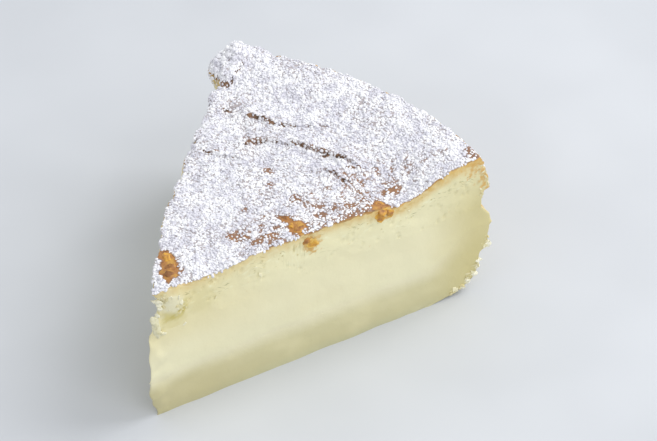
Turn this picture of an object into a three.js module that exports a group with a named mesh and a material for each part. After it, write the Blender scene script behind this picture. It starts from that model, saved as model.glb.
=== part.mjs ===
// A slice of custard cake that sets in three layers as it bakes: a firm base, a soft custard and a sponge
// whose browned top is wrinkled and dusted with icing sugar.
// Millimetres, +Z up. The slice points towards -X, its baked rim faces +X and it stands on Z = 0.

import * as THREE from "three";
import { ImprovedNoise } from "three/addons/math/ImprovedNoise.js";

const { clamp, degToRad, lerp, smoothstep } = THREE.MathUtils;

// Driving dimensions of the slice
const CAKE_RADIUS = 100; // half of a 20 cm round tin
const SLICE_ANGLE = degToRad(52); // about a seventh of the cake, cut by hand
const HALF_ANGLE = SLICE_ANGLE / 2;
const BASE_HEIGHT = 12.8; // top of the firm base
const CUSTARD_HEIGHT = 28.5; // top of the custard
const CAKE_HEIGHT = 42; // top of the sponge, away from the rim

// Joints between the layers
const LAYER_GAP = 0.3;
const JOINT_WAVE = { height: 0.8, length: 20 };
const BASE_CLIMB = { height: 9, start: 82, end: 97 }; // the firm base climbs the tin's wall

// The baked rim
const RIM_RISE = { height: 3.8, start: 76, end: 94 }; // the crust stands up along the tin's wall
const SHOULDER = { inset: 1.1, depth: 3 }; // rounded outer edge of the crust
const FOOT = { inset: 15, height: 7.5 }; // rounded corner between the tin's wall and its floor
const SKIN_INSET = 1.4; // the skin between the lips lies inside the tin's radius
const SKIN_CRAGS = { height: 0.7, length: 4 };
// The skin hangs in lips. Each lip swells out as it comes down to its ledge, then steps back in.
const LOWER_LIP = { ledge: 13, out: 2.9, height: 15.5, swell: 4 };
const UPPER_LIP = { ledge: 34, out: 2.3, height: 12, swell: 1 };
const LEDGE_WANDER = { height: 4, length: 13 }; // a ledge wanders up and down along the rim
const LIP_RAGGEDNESS = { loss: 0.45, share: 1.5, length: 9 }; // a lip's fullness varies along the rim
const LIP_LEAST = 0.1; // least fullness of a lip
const LEDGE_STEP = 0.4; // height over which a ledge steps in

// The knife cuts: waves stand out of the cut's plane, or into it where they are negative
const CUT_WAVE = { height: 0.35, length: 9 };
const FAR_CUT_WAVES = [
  { radius: 26, length: 10, out: 0.6 },
  { radius: 46, length: 14, out: 1.1 },
  { radius: 75, length: 9, out: -2.4 },
  { radius: 84.5, length: 2.5, out: -1.6 },
  { radius: 90, length: 4, out: 0.6 },
];
const FAR_CORNER = { start: 90, inset: 5 }; // the far corner of the rim is rounded off
const FAR_UNDERCUT = { start: 80, end: 89, height: 35, tall: 6, depth: 3.4 }; // broken away under the knobs
const TIP_SLUMP = { out: 2.4, full: [8, 24], end: 33 }; // the soft layers slump out at the point
const TIP_RECESS = { height: 36.5, length: 3.8, depth: 3.6 }; // the sponge is torn back under the crust
const TIP_CRUST = 0.9; // the crust stands out over the recess
const FAR_CRUST = { radius: 11, length: 6, out: 1.5 }; // and over the far cut near the point
const CRUST_THICKNESS = 2.5;
const TIP_CRUMB = { radius: 5, height: 36, length: 4.5, tall: 3.6, out: 1.3 }; // torn crumb on the near cut

// The crust
const CRUST_SWELL = { height: 0.6, length: 16 };
const SUGAR_BUMP = { height: 0.28, length: 3.4 };
// Wrinkles run round the cake's centre. Each one rises gently from the rim's side and drops towards the point.
// Angles are in degrees from the slice's middle line, positive towards the far cut.
const WRINKLES = [
  { from: 26, to: 16, radiusFrom: 74, radiusTo: 79, height: 1.6 },
  { from: 20, to: -2, radiusFrom: 73, radiusTo: 78, height: 1.3 },
  { from: 14, to: -18, radiusFrom: 65.5, radiusTo: 72, height: 1.5 },
  { from: 26, to: 7, radiusFrom: 55.5, radiusTo: 57.5, height: 1.2 },
  { from: -5, to: -18, radiusFrom: 63.5, radiusTo: 66.5, height: 1.0 },
];
const WRINKLE_WANDER = { radius: 0.8, length: 15 };
const WRINKLE_ENDS = { rise: 0.15, fall: 0.7 }; // shares of a wrinkle's run
const WRINKLE_BACK = 6; // length of the gentle side
const WRINKLE_FRONT = 1.1; // length of the steep side
// Knobs of puffed crust at the far corner of the rim
const KNOBS = [
  { radius: 91.5, angle: degToRad(22.9), length: 7.4, width: 5.4, height: 3.2 },
  { radius: 98, angle: degToRad(21), length: 7, width: 9, height: 2.8 },
];
// Dips of the crust along the near cut, gone by this share of the way to it from the middle line
const DIP_END = 0.33;
const NEAR_DIPS = [
  { radius: 17, length: 9, depth: 1.3 },
  { radius: 73, length: 7, depth: 2.4 },
];

// Mesh steps
const ROWS = 66; // steps from the point to the rim, and round the rim
const CUT_REACH = 12; // relief of the cuts dies away this far into the slice
const TIP_REACH = 14;
const SKIN_REACH = 8;
const FOOT_REACH = 40;
const FAN_CENTRE = { radius: 76, angle: 0 }; // hidden faces fan out from here

// Each kind of unevenness has a field of its own, so that no two line up.
const FIELDS = ["swell", "sugar", "wrinkle", "sponge", "custard", "near", "far", "ledge", "lip", "crag"];
const FIELD_SPACING = 10.5;
const noise = new ImprovedNoise();

/** Smooth unevenness between about -1 and 1, from one field and of the given wavelength. */
function uneven(x, y, field, wavelength) {
  return noise.noise(x / wavelength, y / wavelength, FIELD_SPACING * (1 + FIELDS.indexOf(field)));
}

/** A place in the slice's plan, as [x, y]. */
function planPoint(radius, angle) {
  return [radius * Math.cos(angle), radius * Math.sin(angle)];
}

/** A smooth bump of height 1 at the middle, gone after about twice the width. */
function bump(x, middle, width) {
  return Math.exp(-(((x - middle) / width) ** 2));
}

/** Height that the wrinkles add to the crust at a place. */
function wrinkleHeight(radius, angle) {
  let sum = 0;
  for (const wrinkle of WRINKLES) {
    const from = degToRad(wrinkle.from);
    const along = (angle - from) / (degToRad(wrinkle.to) - from);
    const wander = uneven(angle * CAKE_RADIUS, wrinkle.radiusFrom, "wrinkle", WRINKLE_WANDER.length);
    const line = lerp(wrinkle.radiusFrom, wrinkle.radiusTo, along) + WRINKLE_WANDER.radius * wander;
    const across = radius - line;
    const profile = across > 0 ? Math.exp(-across / WRINKLE_BACK) : Math.exp(across / WRINKLE_FRONT);
    const ends = smoothstep(along, 0, WRINKLE_ENDS.rise) * (1 - smoothstep(along, WRINKLE_ENDS.fall, 1));
    sum += wrinkle.height * profile * ends;
  }
  return sum;
}

/** Height that the knobs of puffed crust add: round, with steep sides. */
function knobHeight(radius, angle) {
  let sum = 0;
  for (const knob of KNOBS) {
    const along = (radius - knob.radius) / knob.length;
    const across = ((angle - knob.angle) * knob.radius) / knob.width;
    sum += knob.height * Math.sqrt(Math.max(0, 1 - along ** 2 - across ** 2));
  }
  return sum;
}

/** Top of the crust. */
function topHeight(radius, angle) {
  const [x, y] = planPoint(radius, angle);
  const nearCut = 1 - smoothstep(angle, -HALF_ANGLE, -HALF_ANGLE * DIP_END);
  const dips = NEAR_DIPS.reduce((sum, dip) => sum + dip.depth * bump(radius, dip.radius, dip.length), 0);
  return (
    CAKE_HEIGHT +
    RIM_RISE.height * smoothstep(radius, RIM_RISE.start, RIM_RISE.end) +
    CRUST_SWELL.height * uneven(x, y, "swell", CRUST_SWELL.length) +
    SUGAR_BUMP.height * uneven(x, y, "sugar", SUGAR_BUMP.length) +
    wrinkleHeight(radius, angle) +
    knobHeight(radius, angle) -
    nearCut * dips
  );
}

/** Joint between the custard and the sponge. */
function spongeFloor(radius, angle) {
  const wave = JOINT_WAVE.height * uneven(...planPoint(radius, angle), "sponge", JOINT_WAVE.length);
  return CUSTARD_HEIGHT + wave;
}

/** Joint between the base and the custard. */
function custardFloor(radius, angle) {
  const climb = BASE_CLIMB.height * smoothstep(radius, BASE_CLIMB.start, BASE_CLIMB.end);
  const wave = JOINT_WAVE.height * uneven(...planPoint(radius, angle), "custard", JOINT_WAVE.length);
  return BASE_HEIGHT + climb + wave;
}

/** 1 in the crust, 0 in the crumb below it. */
function crustShare(z) {
  return smoothstep(z, CAKE_HEIGHT - CRUST_THICKNESS, CAKE_HEIGHT);
}

/** How far the near cut stands out of its plane. */
function nearCutRelief(radius, z) {
  const { height, length, tall, out } = TIP_CRUMB;
  const crumb = z > height - tall ? out * bump(radius, TIP_CRUMB.radius, length) * bump(z, height, tall) : 0;
  return crumb + CUT_WAVE.height * uneven(radius, z, "near", CUT_WAVE.length);
}

/** How far the far cut stands out of its plane. */
function farCutRelief(radius, z) {
  const waves = FAR_CUT_WAVES.reduce((sum, wave) => sum + wave.out * bump(radius, wave.radius, wave.length), 0);
  const corner = Math.max(0, (radius - FAR_CORNER.start) / (CAKE_RADIUS - FAR_CORNER.start)) ** 2;
  const { start, end, height, tall, depth } = FAR_UNDERCUT;
  const undercut = depth * smoothstep(radius, start, end) * bump(z, height, tall);
  const crust = FAR_CRUST.out * bump(radius, FAR_CRUST.radius, FAR_CRUST.length) * crustShare(z);
  const wave = CUT_WAVE.height * uneven(radius, z, "far", CUT_WAVE.length);
  return waves + crust - undercut - FAR_CORNER.inset * corner + wave;
}

/** How far the point stands out: slumped below, torn back under the crust. */
function tipRelief(z) {
  const [low, high] = TIP_SLUMP.full;
  const slump = TIP_SLUMP.out * smoothstep(z, 0, low) * (1 - smoothstep(z, high, TIP_SLUMP.end));
  const recess = TIP_RECESS.depth * bump(z, TIP_RECESS.height, TIP_RECESS.length);
  return slump - recess + TIP_CRUST * crustShare(z);
}

/** How much of the rim's raggedness shows at an angle: the near cut has clean lips. */
function raggedness(angle) {
  return smoothstep(angle, -HALF_ANGLE, -HALF_ANGLE / 2);
}

/** Height of a lip's ledge at an angle. */
function ledgeHeight(lip, angle) {
  const wander = uneven(angle * CAKE_RADIUS, lip.ledge, "ledge", LEDGE_WANDER.length);
  return lip.ledge + LEDGE_WANDER.height * raggedness(angle) * wander;
}

/** How far a lip of skin stands out. */
function lipRelief(lip, angle, z) {
  const above = z - ledgeHeight(lip, angle);
  if (above < 0) return 0;
  const variation = uneven(angle * CAKE_RADIUS, lip.ledge, "lip", LIP_RAGGEDNESS.length);
  const change = LIP_RAGGEDNESS.share * variation - LIP_RAGGEDNESS.loss;
  const fullness = clamp(1 + raggedness(angle) * change, LIP_LEAST, 1);
  return lip.out * fullness * clamp(lip.swell * (1 - above / lip.height), 0, 1);
}

/** How far the rounded foot lies inside the tin's radius. */
function footInset(z) {
  const rise = Math.max(0, 1 - z / FOOT.height);
  return FOOT.inset * (1 - Math.sqrt(1 - rise ** 2));
}

/** How far the rim's skin stands out of the tin's radius: rounded shoulder, hanging lips and crags. */
function skinRelief(angle, z) {
  const depth = topHeight(CAKE_RADIUS, angle) - z;
  const shoulder = SHOULDER.inset * Math.max(0, 1 - depth / SHOULDER.depth) ** 2;
  const lips = lipRelief(LOWER_LIP, angle, z) + lipRelief(UPPER_LIP, angle, z);
  const crags = SKIN_CRAGS.height * uneven(angle * CAKE_RADIUS, z, "crag", SKIN_CRAGS.length);
  return lips - SKIN_INSET - shoulder + crags;
}

/** A point of the slice: its place in the sector, moved by the relief of the sides that it is near. */
function slicePoint({ radius, angle }, z) {
  const share = (distance, reach) => Math.max(0, 1 - distance / reach) ** 2;
  const near = share(radius * Math.sin(HALF_ANGLE + angle), CUT_REACH) * nearCutRelief(radius, z);
  const far = share(radius * Math.sin(HALF_ANGLE - angle), CUT_REACH) * farCutRelief(radius, z);
  const tip = share(radius, TIP_REACH) * tipRelief(z);
  const skin = share(CAKE_RADIUS - radius, SKIN_REACH) * skinRelief(angle, z);
  const rim = radius + skin - share(CAKE_RADIUS - radius, FOOT_REACH) * footInset(z);
  return new THREE.Vector3(
    rim * Math.cos(angle) - (near + far) * Math.sin(HALF_ANGLE) - tip,
    rim * Math.sin(angle) + (far - near) * Math.cos(HALF_ANGLE),
    z,
  );
}

// The slice's plan is a lattice: row 0 is the point, and row i has i + 1 places across the angle.
const placeIndex = (row, step) => (row * (row + 1)) / 2 + step;
const places = [];
for (let row = 0; row <= ROWS; row++) {
  for (let step = 0; step <= row; step++) {
    const angle = row === 0 ? 0 : (step / row - 0.5) * SLICE_ANGLE;
    places.push({ radius: (CAKE_RADIUS * row) / ROWS, angle });
  }
}

// The lattice's edge, counter-clockwise from the point: near cut, rim, far cut
const edge = [];
for (let row = 0; row <= ROWS; row++) edge.push(placeIndex(row, 0));
for (let step = 1; step <= ROWS; step++) edge.push(placeIndex(ROWS, step));
for (let row = ROWS - 1; row > 0; row--) edge.push(placeIndex(row, row));

/** Triangles of the whole lattice, facing up. */
function latticeTriangles() {
  const triangles = [];
  for (let row = 0; row < ROWS; row++) {
    for (let step = 0; step <= row; step++) {
      const here = placeIndex(row, step);
      const outer = placeIndex(row + 1, step);
      triangles.push(here, outer, outer + 1);
      if (step < row) triangles.push(here, outer + 1, here + 1);
    }
  }
  return triangles;
}

/**
 * A layer of the slice as a closed geometry.
 * floor and ceiling give its heights at a place, and rings the heights of its side between them: each ring
 * has a share of the way up and, where it follows a ledge of the rim's skin, the lip and the side of its ledge.
 * An open layer shows its ceiling, so that face has every place of the lattice. Hidden faces are fans.
 */
function layerGeometry({ floor, ceiling, rings, open }) {
  const points = [];
  const triangles = [];
  const addPoint = (place, z) => points.push(slicePoint(place, z)) - 1;

  const ringHeight = ({ share, lip, side }, { radius, angle }) => {
    const even = lerp(floor(radius, angle), ceiling(radius, angle), share);
    if (!lip) return even;
    const ledge = ledgeHeight(lip, angle) + (side * LEDGE_STEP) / 2;
    return lerp(even, ledge, smoothstep(radius, BASE_CLIMB.start, CAKE_RADIUS));
  };
  const addRing = (ring) => edge.map((i) => addPoint(places[i], ringHeight(ring, places[i])));
  const addFan = (loop, ring, up) => {
    const middle = addPoint(FAN_CENTRE, ringHeight(ring, FAN_CENTRE));
    loop.forEach((a, i) => {
      const b = loop[(i + 1) % loop.length];
      triangles.push(middle, ...(up ? [a, b] : [b, a]));
    });
  };

  const loops = rings.slice(0, -1).map(addRing);
  addFan(loops[0], rings[0], false);
  if (open) {
    const first = points.length;
    for (const place of places) addPoint(place, ceiling(place.radius, place.angle));
    triangles.push(...latticeTriangles().map((i) => first + i));
    loops.push(edge.map((i) => first + i));
  } else {
    loops.push(addRing(rings.at(-1)));
    addFan(loops.at(-1), rings.at(-1), true);
  }
  for (let level = 0; level + 1 < loops.length; level++) {
    const low = loops[level];
    const high = loops[level + 1];
    low.forEach((a, i) => {
      const next = (i + 1) % low.length;
      triangles.push(a, low[next], high[next], a, high[next], high[i]);
    });
  }

  const geometry = new THREE.BufferGeometry().setFromPoints(points).setIndex(triangles);
  geometry.computeVertexNormals();
  return geometry;
}

const evenRings = (...shares) => shares.map((share) => ({ share }));
const ledgeRings = (lip, below, above) => [
  { share: below, lip, side: -1 },
  { share: above, lip, side: 1 },
];

const layers = [
  {
    name: "base_layer",
    floor: () => 0,
    ceiling: (radius, angle) => custardFloor(radius, angle) - LAYER_GAP / 2,
    rings: [
      ...evenRings(0, 0.04, 0.11, 0.22, 0.4),
      ...ledgeRings(LOWER_LIP, 0.56, 0.62),
      ...evenRings(0.82, 1),
    ],
    finish: { color: 0xd9cd98, roughness: 0.45, metalness: 0 },
  },
  {
    name: "custard_layer",
    floor: (radius, angle) => custardFloor(radius, angle) + LAYER_GAP / 2,
    ceiling: (radius, angle) => spongeFloor(radius, angle) - LAYER_GAP / 2,
    rings: evenRings(0, 0.25, 0.5, 0.75, 1),
    finish: { color: 0xe8e0ba, roughness: 0.4, metalness: 0 },
  },
  {
    name: "sponge_layer",
    floor: (radius, angle) => spongeFloor(radius, angle) + LAYER_GAP / 2,
    ceiling: topHeight,
    rings: [
      ...evenRings(0, 0.16),
      ...ledgeRings(UPPER_LIP, 0.31, 0.37),
      ...evenRings(0.54, 0.72, 0.88, 1),
    ],
    open: true,
    finish: { color: 0xf1ebdd, roughness: 0.85, metalness: 0 },
  },
];

const slice = new THREE.Group();
for (const layer of layers) {
  const mesh = new THREE.Mesh(layerGeometry(layer), new THREE.MeshStandardMaterial(layer.finish));
  mesh.name = layer.name;
  slice.add(mesh);
}

// The origin is under the middle of the slice's bounds.
const middle = new THREE.Box3().setFromObject(slice).getCenter(new THREE.Vector3());
slice.position.set(-middle.x, -middle.y, 0);

export default slice;
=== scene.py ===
"""Looks of one slice of a three-layer custard cake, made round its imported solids.

Each layer is a finer copy of its solid, with the crumb, the baked skin and the crust that the
solid leaves out. Icing sugar and crumbs lie on the layers as joined meshes. Lengths are in metres.
"""

import logging
import math
from collections.abc import Callable, Iterable
from dataclasses import dataclass, field
from enum import Enum
from itertools import pairwise

import bmesh
import bpy
import numpy as np
from bmesh.types import BMEdge, BMesh, BMVert
from bpy.types import ID, ColorRamp, Material, Mesh, NodeSocket, Object
from mathutils import Matrix, Vector, kdtree, noise
from mathutils.geometry import intersect_point_line

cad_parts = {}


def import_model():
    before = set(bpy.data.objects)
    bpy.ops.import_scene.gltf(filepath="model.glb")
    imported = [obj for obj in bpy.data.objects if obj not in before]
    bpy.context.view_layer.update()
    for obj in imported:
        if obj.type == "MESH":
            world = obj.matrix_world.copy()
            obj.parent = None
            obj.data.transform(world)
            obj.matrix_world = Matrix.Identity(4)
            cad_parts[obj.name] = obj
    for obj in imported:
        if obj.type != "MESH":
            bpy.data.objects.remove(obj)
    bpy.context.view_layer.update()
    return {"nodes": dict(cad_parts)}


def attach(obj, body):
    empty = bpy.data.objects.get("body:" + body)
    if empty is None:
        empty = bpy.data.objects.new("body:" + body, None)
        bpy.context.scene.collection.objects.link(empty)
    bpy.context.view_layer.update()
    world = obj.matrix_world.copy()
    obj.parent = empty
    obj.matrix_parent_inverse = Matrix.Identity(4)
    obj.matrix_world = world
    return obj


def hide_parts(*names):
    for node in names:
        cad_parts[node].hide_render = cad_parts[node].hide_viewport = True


LOG = logging.getLogger("cake_slice")
RELIEF_SEED = 2  # without one, the noise module's vectors differ from run to run
MM = 0.001

# The slice's plan in the frame
CAKE_CENTRE = Vector((-49.65 * MM, 1.98 * MM, 0.0))  # under the slice's point
CAKE_RADIUS = 100 * MM
HALF_ANGLE = math.radians(26)

FIELD_SHIFT = Vector((37.1, 17.3, 53.7))  # from one field of unevenness to the next, in wavelengths

Colour = Lengths = tuple[float, float, float]
Span = tuple[float, float]  # the two ends of a smooth rise or fall
Stops = tuple[tuple[float, Colour], ...]


def tint(red: int, green: int, blue: int) -> Colour:
    """The linear colour, 0 to 1, of a display colour whose channels go from 0 to 255."""
    shares = [channel / 255 for channel in (red, green, blue)]
    return tuple(s / 12.92 if s <= 0.04045 else ((s + 0.055) / 1.055) ** 2.4 for s in shares)


def step(value: float, low: float, high: float) -> float:
    """A smooth rise from 0 at low to 1 at high, or a fall where high is the lower one."""
    share = min(1.0, max(0.0, (value - low) / (high - low)))
    return share * share * (3 - 2 * share)


def polar(point: Vector) -> tuple[float, float]:
    """Distance from the cake's centre and angle from the slice's middle line, positive on the far side."""
    flat = point - CAKE_CENTRE
    return math.hypot(flat.x, flat.y), math.atan2(flat.y, flat.x)


def spot(radius: float, angle: float, height: float = 0.0) -> Vector:
    """A place by radius and height in millimetres, and by angle in degrees, as polar() counts them."""
    turn = math.radians(angle)
    return CAKE_CENTRE + Vector((radius * math.cos(turn), radius * math.sin(turn), height)) * MM


class Field(Enum):
    """Fields of unevenness, one for each kind of relief, so that no two line up."""

    CUT = 1
    PORES = 2
    SKIN = 3
    CRUST = 4
    COVER = 5
    PATCH = 6
    CRUMB = 7
    FOLD = 8
    FLAKE = 9

    def place(self, point: Vector, wavelength: float) -> Vector:
        """Where a point lies in this field, in wavelengths."""
        return point / wavelength + FIELD_SHIFT * self.value

    def at(self, point: Vector, wavelength: float) -> float:
        """Smooth unevenness between about -1 and 1 at a point."""
        return noise.noise(self.place(point, wavelength))

    def push(self, point: Vector, wavelength: float) -> Vector:
        """Smooth unevenness in all three directions at a point."""
        return noise.noise_vector(self.place(point, wavelength))

    def to_cell(self, point: Vector, wavelength: float) -> float:
        """Distance from a point to the nearest of the field's scattered cells, in wavelengths."""
        return noise.voronoi(self.place(point, wavelength))[0][0]


def math_operator(operation: str, reflected: bool = False) -> Callable[["Value", "Feed"], "Value"]:
    """Makes an operator of Value.

    Args:
        operation: What its Math node does.
        reflected: Whether the value stands on the right.

    Returns:
        The operator's method.
    """

    def apply(value: "Value", other: "Feed") -> "Value":
        """Adds the Math node."""
        operands = (other, value) if reflected else (value, other)
        return value.shader.node("ShaderNodeMath", {"operation": operation}, dict(enumerate(operands)))

    return apply


class Value:
    """A value that varies over a surface: an output socket. Arithmetic on it adds Math nodes."""

    def __init__(self, shader: "Shader", socket: NodeSocket | None) -> None:
        """Wraps an output socket of a shader's node."""
        self.shader = shader
        self.socket = socket

    __add__, __radd__ = math_operator("ADD"), math_operator("ADD", True)
    __sub__, __rsub__ = math_operator("SUBTRACT"), math_operator("SUBTRACT", True)
    __mul__, __rmul__ = math_operator("MULTIPLY"), math_operator("MULTIPLY", True)

    def step(self, low: float, high: float) -> "Value":
        """A smooth rise from 0 at low to 1 at high, or a fall where high is the lower one."""
        ends = {"Value": self, "From Min": low, "From Max": high}
        return self.shader.node("ShaderNodeMapRange", {"interpolation_type": "SMOOTHSTEP"}, ends)


Feed = Value | float | Colour


class Shader:
    """A material under construction."""

    SHADE_WAVES = (1.4 * MM, 4.0 * MM)  # of the shade painted on the icing sugar
    SHADE_SPAN = (0.72, 1.3)  # of both waves together, from plain white to the most painted shade
    BAKED_WAVES = (0.45 * MM, 1.6 * MM)  # of the crust's relief
    BAKED_DEPTH = 0.1 * MM

    def __init__(self, name: str) -> None:
        """Starts an empty material.

        Args:
            name: The material's name.
        """
        self.material = bpy.data.materials.new(name)
        self.material.use_nodes = True
        self.tree = self.material.node_tree
        self.tree.nodes.clear()

    def node(
        self, kind: str, settings: dict[str, object], sockets: dict[str | int, Feed], output: str | int = 0
    ) -> Value:
        """Adds a node.

        Args:
            kind: The node's type.
            settings: Its properties, set first. stops are those of a colour ramp.
            sockets: What its inputs hold or are linked to.
            output: The output that is wanted.

        Returns:
            That output, or an empty value where the node has none.
        """
        made = self.tree.nodes.new(kind)
        for name, setting in settings.items():
            if name == "stops":
                self._set_stops(made.color_ramp, setting)
            else:
                setattr(made, name, setting)
        for key, feed in sockets.items():
            socket = made.inputs[key]
            if isinstance(feed, Value):
                self.tree.links.new(feed.socket, socket)
            elif socket.type == "RGBA":
                socket.default_value = (*feed, 1.0)
            else:
                socket.default_value = feed
        return Value(self, made.outputs[output] if made.outputs else None)

    @staticmethod
    def _set_stops(ramp: ColorRamp, stops: Stops) -> None:
        """Gives a colour ramp its stops.

        Args:
            ramp: The colour ramp.
            stops: Places and colours, in rising order.
        """
        while len(ramp.elements) > 1:
            ramp.elements.remove(ramp.elements[-1])
        for index, (place, colour) in enumerate(stops):
            element = ramp.elements.new(place) if index else ramp.elements[0]
            element.position = place
            element.color = (*colour, 1.0)

    def place(self) -> Value:
        """Where a point is in the frame, in metres."""
        return self.node("ShaderNodeTexCoord", {}, {}, "Object")

    def attribute(self, name: str) -> Value:
        """A number that the mesh holds at each vertex."""
        return self.node("ShaderNodeAttribute", {"attribute_name": name}, {}, "Fac")

    def cut_place(self, slope: float) -> Value:
        """Where a point is on a cut, below a sloping line.

        Args:
            slope: How far the line falls for each length along the cut.

        Returns:
            The distance along the cut from the cake's centre, and that below the line.
        """
        along = self.attribute("along")
        sockets = {"X": along, "Y": self.attribute("below_crust") - along * slope}
        return self.node("ShaderNodeCombineXYZ", {}, sockets)

    def _in_lengths(self, place: Value, lengths: Lengths) -> Value:
        """A place in wavelengths."""
        rates = tuple(1 / length for length in lengths)
        return self.node("ShaderNodeVectorMath", {"operation": "MULTIPLY"}, {0: place, 1: rates})

    def cloud(self, place: Value, lengths: Lengths, detail: float = 2.0) -> Value:
        """Cloudy noise about 0.5, with a wavelength along each coordinate and that many finer octaves."""
        sockets = {"Vector": self._in_lengths(place, lengths), "Scale": 1.0, "Detail": detail}
        return self.node("ShaderNodeTexNoise", {}, sockets)

    def fine(self, length: float, detail: float = 2.0) -> Value:
        """Cloudy noise about 0.5 of one wavelength all ways."""
        return self.cloud(self.place(), (length, length, length), detail)

    def painted_sugar_shade(self) -> Value:
        """Painted shade on the icing sugar, in patches by place: 0 where it is left whitest, 1 where it is
        painted greyest.
        """
        short, long = (self.fine(wave, 1.0) for wave in self.SHADE_WAVES)
        return (short + long).step(*self.SHADE_SPAN)

    def cells(self, place: Value, size: float) -> Value:
        """Distance to the nearest of scattered cells, in cell sizes."""
        sockets = {"Vector": self._in_lengths(place, (size, size, size)), "Scale": 1.0}
        return self.node("ShaderNodeTexVoronoi", {}, sockets)

    def ramp(self, value: Value, stops: Stops) -> Value:
        """A colour that changes with a value."""
        return self.node("ShaderNodeValToRGB", {"stops": stops}, {"Fac": value})

    def mix(self, share: Feed, first: Feed, second: Feed) -> Value:
        """A colour between two: the first where share is 0, the second where it is 1."""
        return self.node("ShaderNodeMix", {"data_type": "RGBA"}, {0: share, 6: first, 7: second}, 2)

    def bump(self, height: Value, depth: float) -> Value:
        """The normal of a surface with relief of that depth."""
        return self.node("ShaderNodeBump", {}, {"Height": height, "Distance": depth})

    def baked_relief(self) -> Value:
        """The normal of bare or sugared crust."""
        short, long = self.BAKED_WAVES
        return self.bump(self.fine(short) + self.fine(long, 4.0) * 2, self.BAKED_DEPTH)

    def surface(self, **sockets: Feed) -> Material:
        """Ends the material with one shader.

        Args:
            **sockets: The shader's inputs, with _ for a space in a name.

        Returns:
            The material.
        """
        inputs = {name.replace("_", " "): feed for name, feed in sockets.items()}
        shine = self.node("ShaderNodeBsdfPrincipled", {}, inputs)
        self.node("ShaderNodeOutputMaterial", {}, {"Surface": shine})
        return self.material


SUGAR_WHITE, SUGAR_PAINTED_SHADE = tint(252, 252, 254), tint(219, 218, 227)  # the sugar's white, and the grey of the shade painted on it
DRY_SHINE = 0.3  # of crust, sugar, crumbs and floor


@dataclass(frozen=True)
class SetFinish:
    """Baked custard that the knife went through, with the skin that it has at the rim."""

    name: str
    profile: Stops  # colours from the layer's floor, at 0, to its ceiling, at 1
    rim_tone: Colour = tint(205, 193, 135)
    rim_share: float = 0.8  # of that tone at the rim, at the layer's floor
    rim_fade: float = 0.0  # less than that at its ceiling
    point_tone: Colour = tint(220, 203, 140)
    point_share: float = 0.0  # of that tone at the slice's point
    point_span: Span = (40 * MM, 8 * MM)  # it comes in between these distances from the cake's centre
    point_fade: Span = (1.0, 0.6)  # and between these parts of the layer's height
    blush: Colour = tint(234, 226, 186)
    pale_skin: Colour = tint(226, 211, 160)
    gold_skin: Colour = tint(206, 167, 100)
    gold_share: float = 0.45  # of the skin, about
    gold_edge: float = 0.25
    skin_edge: Span = (0.35, 0.65)  # where the cut turns to skin
    roughness: float = 0.42
    shine: float = 0.35
    clouds: Lengths = (8 * MM, 8 * MM, 5 * MM)  # that shift the profile
    cloud_swing: float = 0.12
    warm_clouds: Lengths = (17 * MM, 17 * MM, 9 * MM)  # of the blush
    warmth: float = 0.35
    skin_clouds: Lengths = (6 * MM, 6 * MM, 4 * MM)
    grain: float = 0.7 * MM
    bump_depth: float = 0.1 * MM

    def body(self, shader: Shader) -> Value:
        """Colour of the cut: the layer's profile, clouded, and deeper towards the rim and the point.

        Args:
            shader: The material under construction.

        Returns:
            The colour.
        """
        place = shader.place()
        cloud = shader.cloud(place, self.clouds)
        rise = shader.attribute("rise")
        colour = shader.ramp(rise + (cloud - 0.5) * self.cloud_swing, self.profile)
        warmth = shader.cloud(place, self.warm_clouds).step(0.45, 0.75)
        colour = shader.mix(warmth * self.warmth, colour, self.blush)
        pointward = shader.attribute("along").step(*self.point_span) * rise.step(*self.point_fade)
        colour = shader.mix(pointward * self.point_share, colour, self.point_tone)
        rimward = shader.attribute("rimward") * (self.rim_share - rise * self.rim_fade)
        return shader.mix(rimward, colour, self.rim_tone)

    def skin(self, shader: Shader) -> Value:
        """Colour of the baked skin at the rim: pale, with golden clouds and specks.

        Args:
            shader: The material under construction.

        Returns:
            The colour.
        """
        clouds = shader.cloud(shader.place(), self.skin_clouds, 4.0)
        specks = shader.fine(1.1 * MM, 3.0)
        start = 0.7 - self.gold_share / 2
        gold = (clouds + (specks - 0.5) * 0.5).step(start, start + self.gold_edge)
        return shader.mix(gold, self.pale_skin, self.gold_skin)

    def make(self) -> Material:
        """Builds the material.

        Returns:
            The material.
        """
        shader = Shader(self.name)
        ragged = shader.fine(3 * MM, 3.0)
        at_rim = (shader.attribute("skin") + (ragged - 0.5) * 0.5).step(*self.skin_edge)
        colour = shader.mix(at_rim, self.body(shader), self.skin(shader))
        grain = shader.fine(self.grain, 3.0)
        broad = shader.fine(2.5 * MM)
        return shader.surface(
            Base_Color=colour,
            Roughness=self.roughness + (grain - 0.5) * 0.25 + at_rim * 0.12,
            Normal=shader.bump(grain * (0.35 + at_rim * 0.65) + broad, self.bump_depth),
            Specular_IOR_Level=self.shine,
        )


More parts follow.
